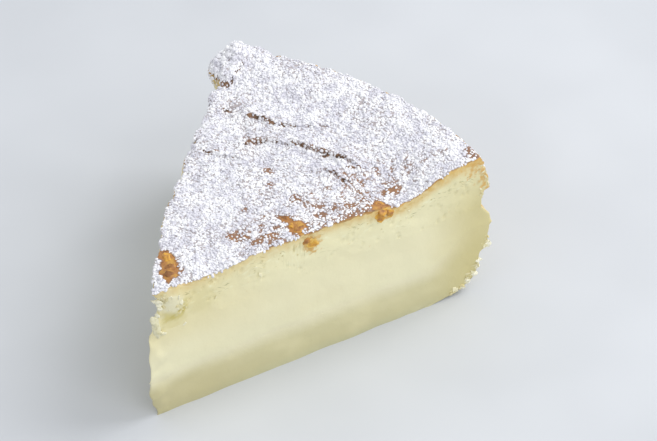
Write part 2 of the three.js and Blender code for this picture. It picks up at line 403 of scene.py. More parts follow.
@dataclass(frozen=True)
class SpongeFinish(SetFinish):
    """Speckled sponge: golden under its crust, with fine streaks, painted shade in pores, and stains."""

    # brown crust at the cut's top edge; nearer the slice's point, painted shade under the sugar's overhang
    crust_line_and_shade: Colour = tint(160, 116, 64)
    under_crust: Colour = tint(214, 178, 104)
    streak: Colour = tint(160, 158, 108)
    # painted shade in the crumb's pores
    pore: Colour = tint(190, 178, 122)
    blob: Colour = tint(240, 238, 203)
    groove: Colour = tint(200, 186, 108)
    block: Colour = tint(228, 224, 197)
    baked: Colour = tint(212, 166, 88)
    speckled: Span = (11 * MM, 4 * MM)  # specks come in between these depths below the crust
    crust_depth: float = 0.6 * MM
    line_span: Span = (24 * MM, 44 * MM)  # from the cake's centre, the faint line of painted shade becomes full crust line, and the gold becomes full
    gold_depth: float = 4.4 * MM
    rim_gold: float = 0.5 * MM  # more than that near the rim
    rim_span: Span = (54 * MM, 76 * MM)
    streak_size: Lengths = (3 * MM, 0.5 * MM, MM)  # along and across: the third has no effect
    streak_span: Span = (0.61, 0.68)
    streak_zone: Lengths = (9 * MM, 4 * MM, MM)
    streak_zone_span: Span = (0.5, 0.64)
    streak_slopes: tuple[float, ...] = (0.6, 0.1)
    streak_share: float = 0.75
    blob_size: Lengths = (3.2 * MM, 1.5 * MM, MM)
    blob_span: Span = (0.55, 0.72)
    blob_slope: float = 0.15
    blob_share: float = 0.7
    comb_size: Lengths = (0.6 * MM, 5 * MM, MM)
    comb_dark: Span = (0.56, 0.66)
    comb_light: Span = (0.46, 0.36)
    pore_size: float = 1.5 * MM
    pore_span: Span = (0.26, 0.12)  # in pore sizes
    pore_zone: float = 4 * MM
    pore_zone_span: Span = (0.5, 0.66)
    pore_share: float = 0.85
    gold_waver: float = 3 * MM  # in depth
    line_waver: float = 1.2 * MM
    line_share: float = 0.9

    def streaks(self, shader: Shader, slope: float) -> Value:
        """Fine broken lines of one slope across the cut.

        Args:
            shader: The material under construction.
            slope: How far they fall for each length along the cut.

        Returns:
            1 on a streak, 0 elsewhere.
        """
        lines = shader.cloud(shader.cut_place(slope), self.streak_size)
        zone = shader.cloud(shader.cut_place(0.0), self.streak_zone)
        return lines.step(*self.streak_span) * zone.step(*self.streak_zone_span)

    def body(self, shader: Shader) -> Value:
        """Colour of the cut: the crust's broken line, painted shade near the point, the gold under it, then
        speckled cream with painted shade in pores.

        Args:
            shader: The material under construction.

        Returns:
            The colour.
        """
        depth = shader.attribute("below_crust")
        upper = depth.step(*self.speckled)
        blobs = shader.cloud(shader.cut_place(self.blob_slope), self.blob_size).step(*self.blob_span)
        colour = shader.mix(blobs * upper * self.blob_share, super().body(shader), self.blob)
        for slope in self.streak_slopes:
            colour = shader.mix(self.streaks(shader, slope) * upper * self.streak_share, colour, self.streak)
        combed = shader.cloud(shader.cut_place(0.0), self.comb_size)
        for span, tone in ((self.comb_dark, self.streak), (self.comb_light, self.blob)):
            colour = shader.mix(combed.step(*span) * shader.attribute("combed"), colour, tone)
        # Small dark specks: painted shade in pores.
        pore_shade = shader.cells(shader.place(), self.pore_size).step(*self.pore_span)
        pore_zone = shader.fine(self.pore_zone).step(*self.pore_zone_span) * upper
        colour = shader.mix(pore_shade * pore_zone * self.pore_share, colour, self.pore)
        for stain, tone in (("groove", self.groove), ("block", self.block)):
            colour = shader.mix(shader.attribute(stain), colour, tone)
        waver = shader.fine(4 * MM, 3.0) - 0.5
        rimward = shader.attribute("along").step(*self.rim_span)
        gold = (depth + waver * self.gold_waver - rimward * self.rim_gold).step(self.gold_depth, 0.0)
        patchy = 0.6 + 0.4 * shader.fine(1.8 * MM, 3.0).step(0.35, 0.65)
        past_point = shader.attribute("along").step(*self.line_span)
        gold = gold * patchy * (0.6 + past_point * 0.4) * (0.8 + rimward * 0.2)
        colour = shader.mix(gold, colour, self.under_crust)
        # The crust's line; where it is faint nearer the point, it is painted shade under the sugar's
        # overhang.
        line = (depth + waver * self.line_waver).step(self.crust_depth, 0.0) * (0.35 + past_point * 0.65)
        colour = shader.mix(line * self.line_share, colour, self.crust_line_and_shade)
        return shader.mix(self.browning(shader), colour, self.baked)

    def browning(self, shader: Shader) -> Value:
        """How strongly the sponge is browned, in specks, where it is baked."""
        specks = shader.fine(1.2 * MM, 4.0) - 0.5
        return (shader.attribute("baked") + specks * 2.2).step(0.3, 1.0) * 0.85

    def skin(self, shader: Shader) -> Value:
        """Colour of the baked skin at the rim, browned in places."""
        return shader.mix(self.browning(shader), super().skin(shader), self.baked)


@dataclass(frozen=True)
class CrustFinish:
    """Browned crust under icing sugar: white where the sugar lies thick, brown where it lies bare, with
    painted shade on the sugar and in the wrinkles' creases.
    """

    name: str = "sugared_crust"
    dark: Colour = tint(136, 92, 54)
    brown: Colour = tint(174, 122, 70)
    gold: Colour = tint(198, 152, 76)
    # painted shade over bare crust, in the wrinkles' creases
    crease: Colour = tint(96, 74, 58)
    fold: Colour = tint(148, 114, 88)  # a crease's lighter places, with less painted shade
    thin: Colour = tint(146, 112, 90)  # crust with a breath of sugar
    dust_and_gap_shade: Colour = tint(180, 172, 174)  # crust with a little more sugar, greyed with painted shade in the gaps between grains
    sugar: Colour = SUGAR_WHITE
    # the grey of the shade painted on the sugar
    shade: Colour = SUGAR_PAINTED_SHADE
    mottle: float = 2.0 * MM
    gold_span: Span = (0.5, 0.66)
    dark_span: Span = (0.48, 0.34)
    thin_span: Span = (0.1, 0.5)  # of the sugar's cover
    dust_span: Span = (0.6, 0.9)
    fold_mottle: float = 1.2 * MM
    fold_tones: Span = (0.42, 0.62)
    fold_span: Span = (0.04, 0.25)  # of how bare a crease is
    grain: float = 0.9 * MM  # at the sugar's edges
    white_span: Span = (1.08, 1.2)

    def make(self) -> Material:
        """Builds the material.

        Returns:
            The material.
        """
        shader = Shader(self.name)
        cover = shader.attribute("cover")
        cloud = shader.fine(self.mottle, 4.0)
        colour = shader.mix(cloud.step(*self.gold_span), self.brown, self.gold)
        colour = shader.mix(cloud.step(*self.dark_span), colour, self.dark)
        colour = shader.mix(cover.step(*self.thin_span), colour, self.thin)
        colour = shader.mix(cover.step(*self.dust_span), colour, self.dust_and_gap_shade)
        # Where a crease is bare, the crust is painted dark: painted shade at the foot of the wrinkle's
        # scarp.
        crease = shader.mix(shader.fine(self.fold_mottle).step(*self.fold_tones), self.crease, self.fold)
        colour = shader.mix(shader.attribute("fold").step(*self.fold_span), colour, crease)
        white = (cover * 0.72 + shader.fine(self.grain, 1.0)).step(*self.white_span)
        # The white sugar is painted grey in patches: painted shade.
        sugar = shader.mix(shader.painted_sugar_shade(), self.sugar, self.shade)
        return shader.surface(
            Base_Color=shader.mix(white, colour, sugar),
            Roughness=0.5 + white * 0.35,
            Normal=shader.baked_relief(),
            Specular_IOR_Level=DRY_SHINE,
        )


@dataclass(frozen=True)
class FlakeFinish:
    """Bits of bare crust or crumb, each from dark to cream by its own tone."""

    name: str = "flaked_crust"
    dark: Colour = tint(136, 92, 54)
    brown: Colour = tint(174, 122, 70)
    gold: Colour = tint(214, 162, 62)
    cream: Colour = tint(229, 199, 118)
    mottle: float = 1.1 * MM
    mottling: float = 1.1  # in tone

    def make(self) -> Material:
        """Builds the material.

        Returns:
            The material.
        """
        shader = Shader(self.name)
        tone = shader.attribute("tone") + (shader.fine(self.mottle, 4.0) - 0.5) * self.mottling
        stops = ((0.0, self.dark), (0.35, self.brown), (0.68, self.gold), (1.0, self.cream))
        return shader.surface(
            Base_Color=shader.ramp(tone, stops),
            Roughness=0.5,
            Normal=shader.baked_relief(),
            Specular_IOR_Level=DRY_SHINE,
        )


@dataclass(frozen=True)
class BitFinish:
    """Small loose things, each with its own tone between two."""

    name: str
    light: Colour
    # for the sugar, deep is the grey of its painted shade; for crumbs, their own darker tone
    deep: Colour
    drift: float = 0.0  # share of the tone that comes from the shade painted where they lie
    roughness: float = 0.8
    mottle: float = 0.3 * MM
    mottling: float = 0.3  # in tone

    def make(self) -> Material:
        """Builds the material.

        Returns:
            The material.
        """
        shader = Shader(self.name)
        own = shader.attribute("tone") + (shader.fine(self.mottle) - 0.5) * self.mottling
        tone = own * (1 - self.drift) + shader.painted_sugar_shade() * self.drift
        return shader.surface(
            Base_Color=shader.mix(tone.step(0.0, 1.0), self.light, self.deep),
            Roughness=self.roughness,
            Specular_IOR_Level=DRY_SHINE,
        )


# The sugar takes 0.7 of its tone from the shade painted in patches.
SUGAR_FINISH = BitFinish("icing_sugar", SUGAR_WHITE, SUGAR_PAINTED_SHADE, 0.7)
CRUMB_FINISH = BitFinish("pale_crumb", tint(232, 226, 192), tint(214, 203, 154))


@dataclass(frozen=True)
class FloorFinish:
    """A plain pale floor."""

    name: str = "pale_floor"
    pale: Colour = tint(206, 209, 214)
    deep: Colour = tint(200, 203, 208)
    clouds: float = 60 * MM

    def make(self) -> Material:
        """Builds the material.

        Returns:
            The material.
        """
        shader = Shader(self.name)
        colour = shader.mix(shader.fine(self.clouds).step(0.3, 0.7), self.pale, self.deep)
        return shader.surface(Base_Color=colour, Roughness=0.6, Specular_IOR_Level=DRY_SHINE)


@dataclass(frozen=True)
class Zone:
    """A place on the slice with soft, ragged edges."""

    middle: Vector
    reach: float
    share: float = 1.0

    CORE = 0.4  # of its reach, where it is whole
    OUTERMOST = 3.4  # reaches to its most ragged edge
    RAGGEDNESS = 0.35
    WAVES = (0.6, 0.25)  # of its edge, in reaches

    def at(self, point: Vector) -> float:
        """Its strength at a point.

        Args:
            point: A point of the slice.

        Returns:
            0 outside it, its share in its core.
        """
        distance = (point - self.middle).length
        if distance > self.OUTERMOST * self.reach:
            return 0.0
        ragged = 1.0
        for wave in self.WAVES:
            ragged += self.RAGGEDNESS * Field.PATCH.at(point, wave * self.reach)
        return self.share * step(distance * ragged, self.reach, self.CORE * self.reach)


@dataclass(frozen=True)
class Swell(Zone):
    """A place where the slice bulges or sinks."""

    move: Vector = Vector()  # in its middle

    def push(self, point: Vector) -> Vector:
        """How far it moves a point."""
        return self.move * self.at(point)


@dataclass(frozen=True)
class Wrinkle:
    """A fold of the crust: a low scarp that faces the slice's point, with a bare crease at its foot."""

    course: tuple[Vector, ...]  # along the scarp in plan, with its high side on the left
    height: float
    bare: float = 0.9  # of the sugar that is missing in the crease
    back: float = 2.2 * MM  # how fast it falls off behind the scarp
    foot: float = 0.9 * MM  # and in front of it
    crease: float = 0.38 * MM
    crease_shift: float = 0.25 * MM  # of the crease from the scarp
    wander: float = 0.5 * MM  # from its course
    wander_wave: float = 2.6 * MM
    fade: float = 0.6  # stations of the course over which it starts and ends
    sunk: float = 0.7  # how far its foot sinks, over its height
    uneven: float = 0.7  # in height, along it
    uneven_wave: float = 4 * MM
    gap_wave: float = 1.6 * MM  # of the sugar's gaps in the crease

    def nearest(self, point: Vector) -> tuple[float, float]:
        """The scarp's nearest place.

        Args:
            point: A point of the crust.

        Returns:
            The distance to it in plan, positive behind the scarp, and how strong the fold is there.
        """
        flat = Vector((point.x, point.y, 0.0))
        offset, station = math.inf, 0.0
        for number, (start, end) in enumerate(pairwise(self.course)):
            share = min(1.0, max(0.0, intersect_point_line(flat, start, end)[1]))
            gap = flat - start.lerp(end, share)
            if gap.length < abs(offset):
                behind = (end - start).cross(gap).z > 0
                offset, station = gap.length if behind else -gap.length, number + share
        whole = len(self.course) - 1
        offset += self.wander * Field.FOLD.at(point, self.wander_wave)
        return offset, step(station, 0.0, self.fade) * step(station, whole, whole - self.fade)

    def rise(self, point: Vector) -> float:
        """How far the crust is lifted behind the scarp, or sunk in front of it.

        Args:
            point: A point of the crust.

        Returns:
            The rise, negative where it sinks.
        """
        offset, strength = self.nearest(point)
        fall = math.exp(-offset / self.back) if offset > 0 else -self.sunk * math.exp(offset / self.foot)
        return self.height * strength * fall * (1 + self.uneven * Field.FOLD.at(point, self.uneven_wave))

    def bareness(self, point: Vector) -> float:
        """How much of the sugar is missing in the crease.

        Args:
            point: A point of the crust.

        Returns:
            The share that is missing, 0 to 1.
        """
        offset, strength = self.nearest(point)
        broken = 0.12 + 0.4 * step(Field.PATCH.at(point, self.gap_wave), 0.1, 0.4)
        gap = abs(offset + self.crease_shift)
        return self.bare * strength * broken * step(gap, self.crease, 0.3 * self.crease)


@dataclass(frozen=True)
class BarePatch:
    """A place where the crust shows through the sugar."""

    middle: Vector
    heading: float  # of its length in plan, in degrees
    length: float  # half of it
    width: float  # half of it
    share: float = 1.0  # of the sugar that is missing
    broken: float = 0.0  # how far it comes in spots

    EDGE = (1.25, 0.7)  # in half lengths, from its outer to its inner side
    OUTERMOST = 2.1  # half lengths to its most ragged edge
    EDGE_WAVES = (2.2 * MM, 0.8 * MM)
    SPOT_WAVE = 1.9 * MM

    def at(self, point: Vector) -> float:
        """How much of the sugar is missing.

        Args:
            point: A point of the crust.

        Returns:
            0 outside the patch, its share inside.
        """
        gap = point - self.middle
        turn = math.radians(self.heading)
        along = (gap.x * math.cos(turn) + gap.y * math.sin(turn)) / self.length
        across = (gap.y * math.cos(turn) - gap.x * math.sin(turn)) / self.width
        distance = math.hypot(along, across)
        if distance > self.OUTERMOST:
            return 0.0
        coarse, fine = (Field.PATCH.at(point, wave) for wave in self.EDGE_WAVES)
        ragged = 0.5 * coarse + 0.35 * fine
        spots = 1 - self.broken + 2 * self.broken * step(Field.PATCH.at(point, self.SPOT_WAVE), -0.1, 0.3)
        return self.share * spots * step(distance + ragged, *self.EDGE)


@dataclass(frozen=True)
class SugarCover:
    """How thick the icing sugar lies on the crust, 0 to 1."""

    patches: tuple[BarePatch, ...] = ()
    thick: float = 1.0
    swing: float = 0.13  # between thick and thin drifts
    drift: float = 11 * MM
    edge: float = 1.6 * MM  # thinner this near to the near cut, past its first stretch
    edge_span: Span = (38 * MM, 49.4 * MM)  # from the cake's centre, where that stretch ends
    edge_loss: float = 0.12
    crease_loss: float = 0.22
    crease_depth: Span = (0.18 * MM, 0.55 * MM)
    crease_inset: Span = (0.8 * MM, 2.5 * MM)  # creases count this far inside the crust's edge

    def at(self, point: Vector, crease: float, fold: float) -> float:
        """How thick the sugar lies.

        Args:
            point: A point of the crust.
            crease: How far it lies below the crust round it.
            fold: How bare a wrinkle's crease is there.

        Returns:
            0 where the crust is bare, 1 where the sugar hides it.
        """
        radius, angle = polar(point)
        cover = self.thick - self.swing * step(Field.COVER.at(point, self.drift), 0.0, 0.5)
        to_near_cut = radius * math.sin(HALF_ANGLE + angle)
        past = step(radius, *self.edge_span)
        cover -= self.edge_loss * past * step(to_near_cut, self.edge, 0.0)
        inside = min(to_near_cut, radius * math.sin(HALF_ANGLE - angle), CAKE_RADIUS - radius)
        hollow = step(crease, *self.crease_depth) * step(inside, *self.crease_inset)
        cover -= self.crease_loss * hollow + fold
        for patch in self.patches:
            cover -= patch.at(point)
        return max(0.0, cover)


def mesh_of(form: BMesh, name: str) -> Mesh:
    """Ends the modelling of a form.

    Args:
        form: The form, which is freed.
        name: The mesh's name.

    Returns:
        The mesh.
    """
    data = bpy.data.meshes.new(name)
    form.to_mesh(data)
    form.free()
    return data


def add_piece(data: Mesh, slot: str, *materials: Material) -> Object:
    """Makes a mesh a dressed piece of the slice.

    Args:
        data: The mesh, which has the piece's name.
        slot: Not used.
        *materials: Its materials, in the order of the mesh's own slots.

    Returns:
        The piece.
    """
    for material in materials:
        data.materials.append(material)
    piece = bpy.data.objects.new(data.name, data)
    bpy.context.scene.collection.objects.link(piece)
    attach(piece, "root")
    return piece


def set_numbers(data: Mesh, name: str, values: Iterable[float]) -> None:
    """Gives each vertex of a mesh its number, as an attribute."""
    data.attributes.new(name, "FLOAT", "POINT").data.foreach_set("value", values)


Ring = list[BMVert]


def rings_of(edges: Iterable[BMEdge]) -> list[Ring]:
    """Groups edges into rings, the lowest first.

    Args:
        edges: The edges of all rings.

    Returns:
        Each ring's vertices, in no order.
    """
    wanted = set(edges)
    waiting = {v for e in wanted for v in e.verts}
    found = []
    while waiting:
        ring = [waiting.pop()]
        for vertex in ring:
            ends = [e.other_vert(vertex) for e in vertex.link_edges if e in wanted]
            fresh = [v for v in ends if v in waiting]
            waiting.difference_update(fresh)
            ring.extend(fresh)
        found.append(ring)
    return sorted(found, key=lambda ring: min(v.co.z for v in ring))


class RingHeights:
    """Height of a ring near any place in plan."""

    def __init__(self, ring: Ring) -> None:
        """Keeps the places and heights of a ring.

        Args:
            ring: The ring's vertices.
        """
        self.heights = [v.co.z for v in ring]
        self.tree = kdtree.KDTree(len(ring))
        for index, vertex in enumerate(ring):
            self.tree.insert((vertex.co.x, vertex.co.y, 0.0), index)
        self.tree.balance()

    def near(self, point: Vector) -> float:
        """Height of the ring's vertex that is nearest to a point in plan."""
        return self.heights[self.tree.find((point.x, point.y, 0.0))[1]]


@dataclass
class Layer:
    """One layer of the cake, as a finer copy of its solid."""

    node: str
    name: str
    slot: str
    finish: SetFinish
    torn: tuple[Zone, ...] = ()  # where crumbs cling to it
    joint_gap: float = 0.3 * MM  # that the solids keep between layers, closed here
    cuts: int = 3  # new points on each edge of the solid
    smoothing: int = 4
    cut_relief: float = 0.07 * MM
    joint_relief: float = 0.07 * MM  # the same on both layers at a joint
    skin_relief: float = 0.45 * MM
    point_relief: float = 0.55 * MM
    point_reach: float = 6 * MM  # from the cake's centre
    cut_wave: float = 3 * MM
    skin_waves: Span = (3.2 * MM, 1.3 * MM)
    point_wave: float = 3.4 * MM
    floor_edge: float = 0.8 * MM  # relief dies away this near to the floor
    hub_edges: int = 50  # the hub of a hidden face's fan has more edges than any other vertex
    merge: float = 0.001 * MM

    FACING_OUT = (0.35, 0.75)  # how far a face looks outwards where cut turns to skin
    RIM_SPAN = (0.7 * CAKE_RADIUS, 0.8 * CAKE_RADIUS)  # skin begins between these
    RIMWARD_SPAN = (0.78 * CAKE_RADIUS, 0.99 * CAKE_RADIUS)  # and the cut deepens in tone between these

    def copy(self, solid: Object) -> BMesh:
        """Copies the solid's mesh, merged, with its hidden faces marked as flat ones.

        Args:
            solid: The CAD node's object.

        Returns:
            The copy.
        """
        mesh = bmesh.new()
        mesh.from_mesh(solid.data)
        bmesh.ops.remove_doubles(mesh, verts=mesh.verts, dist=self.merge)
        hubs = self.hubs(mesh)
        for face in mesh.faces:
            on_floor = all(v.co.z < self.merge for v in face.verts)
            face.smooth = hubs.isdisjoint(face.verts) and not on_floor
        return mesh

    def hubs(self, mesh: BMesh) -> set[BMVert]:
        """The vertices that the hidden faces fan out from."""
        return {v for v in mesh.verts if len(v.link_edges) > self.hub_edges}

    @staticmethod
    def hems(mesh: BMesh) -> list[BMEdge]:
        """The edges where a hidden face meets the layer's sides."""
        return [e for e in mesh.edges if len({f.smooth for f in e.link_faces}) > 1]

    def close_joints(self, mesh: BMesh) -> None:
        """Moves the rings that face another layer to the middle of the joint.

        Args:
            mesh: The layer's mesh.
        """
        rings = rings_of(self.hems(mesh))
        for ring in rings:
            if min(v.co.z for v in ring) < self.merge:
                continue
            downwards = ring is rings[0]
            for vertex in ring:
                vertex.co.z += (-0.5 if downwards else 0.5) * self.joint_gap

    def mark(self, mesh: BMesh) -> None:
        """Gives faces of a second finish their material slot. A plain layer has none."""

    def refine(self, mesh: BMesh) -> None:
        """Splits the solid's visible facets and rounds them off, with their rings left in place.

        Args:
            mesh: The layer's mesh.
        """
        hubs = self.hubs(mesh)
        edges = [e for e in mesh.edges if hubs.isdisjoint(e.verts)]
        bmesh.ops.subdivide_edges(mesh, edges=edges, cuts=self.cuts, use_grid_fill=True)
        inner = [v for v in mesh.verts if all(f.smooth for f in v.link_faces)]
        for _ in range(self.smoothing):
            bmesh.ops.smooth_vert(
                mesh, verts=inner, factor=0.5, use_axis_x=True, use_axis_y=True, use_axis_z=True
            )
        mesh.normal_update()

    @staticmethod
    def outwards(vertex: BMVert) -> Vector:
        """Direction out of the visible surface at a vertex."""
        normal = sum((f.normal for f in vertex.link_faces if f.smooth), Vector())
        return normal.normalized() if normal.length else vertex.normal.copy()

    def rimness(self, vertex: BMVert) -> float:
        """How far a vertex belongs to the baked rim.

        Args:
            vertex: A vertex of the mesh.

        Returns:
            1 on the rim, 0 on the cuts and the crust.
        """
        outwards = self.outwards(vertex)
        radius, angle = polar(vertex.co)
        away = outwards.x * math.cos(angle) + outwards.y * math.sin(angle)
        return step(away, *self.FACING_OUT) * step(radius, *self.RIM_SPAN)

    def sides(self, vertex: BMVert, cut_relief: float) -> Vector:
        """How far the cut or the rim's skin stands out of the smooth form at a vertex.

        Args:
            vertex: A vertex of the refined mesh.
            cut_relief: The relief's height on a cut.

        Returns:
            The move.
        """
        point, rim = vertex.co, self.rimness(vertex)
        cut = Field.CUT.push(point, self.cut_wave) * cut_relief
        coarse, fine = (Field.SKIN.push(point, wave) for wave in self.skin_waves)
        skin = coarse + 0.7 * fine
        pointed = step(polar(point)[0], self.point_reach, 0.3 * self.point_reach)
        torn = Field.CRUMB.push(point, self.point_wave) * (self.point_relief * pointed)
        return cut * (1 - rim) + skin * (rim * self.skin_relief) + torn

    def relief(self, vertex: BMVert) -> Vector:
        """How far the layer stands out of the smooth form at a vertex away from a joint."""
        return self.sides(vertex, self.cut_relief)

    def roughen(self, mesh: BMesh) -> None:
        """Adds the relief, flat on the floor, and keeps the edges of hidden faces sharp.

        Args:
            mesh: The layer's mesh.
        """
        hubs = self.hubs(mesh)
        hems = self.hems(mesh)
        at_joint = {v for e in hems for v in e.verts}
        moves = {}
        for vertex in mesh.verts:
            if vertex not in hubs:
                joint = vertex in at_joint
                move = self.sides(vertex, self.joint_relief) if joint else self.relief(vertex)
                moves[vertex] = move * step(vertex.co.z, 0.0, self.floor_edge)
        for vertex, move in moves.items():
            vertex.co += move
        for edge in hems:
            edge.smooth = False
        mesh.normal_update()

    def edges_of(self, mesh: BMesh) -> tuple[Ring, Ring]:
        """The rings where the layer's floor and its ceiling meet its sides."""
        return tuple(rings_of(self.hems(mesh)))

    def measure(self, mesh: BMesh) -> dict[str, list[float]]:
        """Works out what the finishes read at each vertex.

        Args:
            mesh: The finished mesh.

        Returns:
            The numbers by the attribute's name.
        """
        floor, ceiling = (RingHeights(ring) for ring in self.edges_of(mesh))
        numbers = {name: [] for name in ("rise", "skin", "rimward", "below_crust", "along", "torn")}
        for vertex in mesh.verts:
            low, high = floor.near(vertex.co), ceiling.near(vertex.co)
            radius, angle = polar(vertex.co)
            rim = self.rimness(vertex)
            numbers["rise"].append((vertex.co.z - low) / max(high - low, MM))
            numbers["skin"].append(rim)
            numbers["rimward"].append(step(radius, *self.RIMWARD_SPAN))
            numbers["below_crust"].append(max(0.0, high - vertex.co.z))
            numbers["along"].append(radius + rim * angle * CAKE_RADIUS)
            numbers["torn"].append(sum(zone.at(vertex.co) for zone in self.torn))
        return numbers

    def materials(self) -> list[Material]:
        """The layer's materials, in the order of their slots."""
        return [self.finish.make()]

    def build(self, solid: Object) -> Object:
        """Models the layer and dresses it.

        Args:
            solid: The CAD node's object.

        Returns:
            The finished piece.
        """
        mesh = self.copy(solid)
        self.close_joints(mesh)
        self.mark(mesh)
        self.refine(mesh)
        self.roughen(mesh)
        numbers = self.measure(mesh)
        data = mesh_of(mesh, self.name)
        for name, values in numbers.items():
            set_numbers(data, name, values)
        piece = add_piece(data, self.slot, *self.materials())
        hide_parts(self.node)
        return piece


@dataclass
class SpongeLayer(Layer):
    """The sponge with its browned crust."""

    crust: CrustFinish = CrustFinish()
    cover: SugarCover = SugarCover()
    wrinkles: tuple[Wrinkle, ...] = ()
    dips: tuple[BarePatch, ...] = ()  # the deepest places of the wrinkles, where sugar is taken away and the most shade is painted
    stains: dict[str, tuple[Zone, ...]] = field(default_factory=dict)  # by the attribute that they fill
    spills: tuple[Zone, ...] = ()  # where sugar lies past the crust's edge
    lumpy: tuple[Zone, ...] = ()  # where it lies in lumps
    swells: tuple[Swell, ...] = ()
    rumpled: tuple[Zone, ...] = ()  # where the crust is more uneven
    side_strips: int = 7  # rows of the solid's facets from its floor up to the crust
    cut_relief: float = 0.16 * MM
    pore_depth: float = 0.45 * MM
    pore_size: float = 1.7 * MM
    pore_edge: Span = (0.42, 0.15)  # in pore sizes, from its brim to its floor
    pore_zone: float = 5 * MM
    crust_relief: float = 0.17 * MM
    crust_waves: Span = (2.0 * MM, 0.9 * MM)
    broad_relief: float = 0.42 * MM
    broad_waves: Span = (5.6 * MM, 2.8 * MM)
    hem_relief: float = 0.45 * MM  # of the crust's edge
    hem_wave: float = 1.5 * MM
    fold_reach: float = 1.6 * MM  # finer facets this near to a wrinkle
    rumple: float = 0.9  # more relief than that beside a wrinkle
    rumple_reach: float = 2.6 * MM
    crease_passes: int = 40

    CRUST = 1  # its material slot: the crumb's is 0

    def mark(self, mesh: BMesh) -> None:
        """Gives the crust's faces their material slot: those past the last row of the sides.

        Args:
            mesh: The layer's mesh.
        """
        level = {v: 0 for e in self.hems(mesh) for v in e.verts}
        front = list(level)
        while front:
            ends = {e.other_vert(v): level[v] + 1 for v in front for e in v.link_edges}
            front = [v for v in ends if v not in level]
            level.update({v: ends[v] for v in front})
        for face in mesh.faces:
            if all(level[v] >= self.side_strips for v in face.verts):
                face.material_index = self.CRUST

    def refine(self, mesh: BMesh) -> None:
        """Splits the facets and rounds them off, then splits those near a wrinkle once more.

        Args:
            mesh: The layer's mesh.
        """
        super().refine(mesh)
        near = set()
        for vertex in mesh.verts:
            offsets = (abs(w.nearest(vertex.co)[0]) for w in self.wrinkles)
            if self.crustness(vertex) == 1 and min(offsets) < self.fold_reach:
                near.add(vertex)
        edges = [e for e in mesh.edges if all(v in near for v in e.verts)]
        bmesh.ops.subdivide_edges(mesh, edges=edges, cuts=1, use_grid_fill=True)
        mesh.normal_update()

    def crustness(self, vertex: BMVert) -> float:
        """Share of the visible faces round a vertex that are crust."""
        faces = [f for f in vertex.link_faces if f.smooth]
        return sum(f.material_index == self.CRUST for f in faces) / max(1, len(faces))

    def relief(self, vertex: BMVert) -> Vector:
        """How far the crust, the crumb with its pores or the skin stands out at a vertex.

        Args:
            vertex: A vertex of the refined mesh.

        Returns:
            The move.
        """
        point, crust = vertex.co, self.crustness(vertex)
        swell = sum((s.push(point) for s in self.swells), Vector())
        if crust == 0:
            pore = step(Field.PORES.to_cell(point, self.pore_size), *self.pore_edge)
            pore *= step(Field.CRUMB.at(point, self.pore_zone), -0.1, 0.3)
            return super().relief(vertex) + swell - vertex.normal * (pore * self.pore_depth)
        folds = [wrinkle.nearest(point) for wrinkle in self.wrinkles]
        beside = max(strength * math.exp(-abs(offset) / self.rumple_reach) for offset, strength in folds)
        coarse, fine = (Field.CRUST.at(point, wave) for wave in self.crust_waves)
        bumps = (coarse + 0.7 * fine) * (self.crust_relief * (1 + self.rumple * beside))
        coarse, fine = (Field.FOLD.at(point, wave) for wave in self.broad_waves)
        broad = (coarse + 0.5 * fine) * (self.broad_relief * (1 + sum(z.at(point) for z in self.rumpled)))
        move = swell + vertex.normal * (bumps + broad)
        move.z += sum(wrinkle.rise(point) for wrinkle in self.wrinkles)
        if crust < 1:
            move += Field.CRUST.push(point, self.hem_wave) * self.hem_relief
        return move

    def edges_of(self, mesh: BMesh) -> tuple[Ring, Ring]:
        """The rings where the layer's floor and its crust meet its sides."""
        floor = rings_of(self.hems(mesh))[0]
        return floor, [v for v in mesh.verts if 0.0 < self.crustness(v) < 1.0]

    def creases(self, mesh: BMesh) -> dict[BMVert, float]:
        """How far each vertex of the crust lies below the crust round it.

        Args:
            mesh: The finished mesh.

        Returns:
            The depths by vertex.
        """
        crust = [v for v in mesh.verts if self.crustness(v) > 0]
        number = {v: i for i, v in enumerate(crust)}
        pairs = [[number[v] for v in e.verts] for e in mesh.edges if all(v in number for v in e.verts)]
        first, second = np.array(pairs).T
        height = np.array([v.co.z for v in crust])
        size = len(crust)
        links = np.bincount(np.r_[first, second], minlength=size)
        level = height.copy()
        for _ in range(self.crease_passes):
            total = np.bincount(first, level[second], size) + np.bincount(second, level[first], size)
            level = (level + total / np.maximum(links, 1)) / 2
        return dict(zip(crust, (level - height).tolist()))

    def measure(self, mesh: BMesh) -> dict[str, list[float]]:
        """Works out what the finishes read at each vertex, with the sugar's cover and the stains.

        Args:
            mesh: The finished mesh.

        Returns:
            The numbers by the attribute's name.
        """
        creases = self.creases(mesh)
        numbers = super().measure(mesh) | {name: [] for name in ("cover", "lumpy", "fold", *self.stains)}
        for index, vertex in enumerate(mesh.verts):
            point, on_crust = vertex.co, vertex in creases
            # fold takes sugar away and sets how much shade is painted in a crease
            folds = [wrinkle.bareness(point) for wrinkle in self.wrinkles if on_crust]
            fold = max([0.0, *folds, *(dip.at(point) for dip in self.dips)])
            spilt = sum(zone.at(point) for zone in self.spills)
            numbers["cover"].append(self.cover.at(point, creases[vertex], fold) if on_crust else spilt)
            numbers["lumpy"].append(sum(zone.at(point) for zone in self.lumpy))
            numbers["fold"].append(fold)
            for name, stain in self.stains.items():
                numbers[name].append(sum(zone.at(point) for zone in stain))
            if self.crustness(vertex) == 1:
                numbers["below_crust"][index] = 0.0
        return numbers

    def materials(self) -> list[Material]:
        """The layer's materials, in the order of their slots."""
        return [self.finish.make(), self.crust.make()]


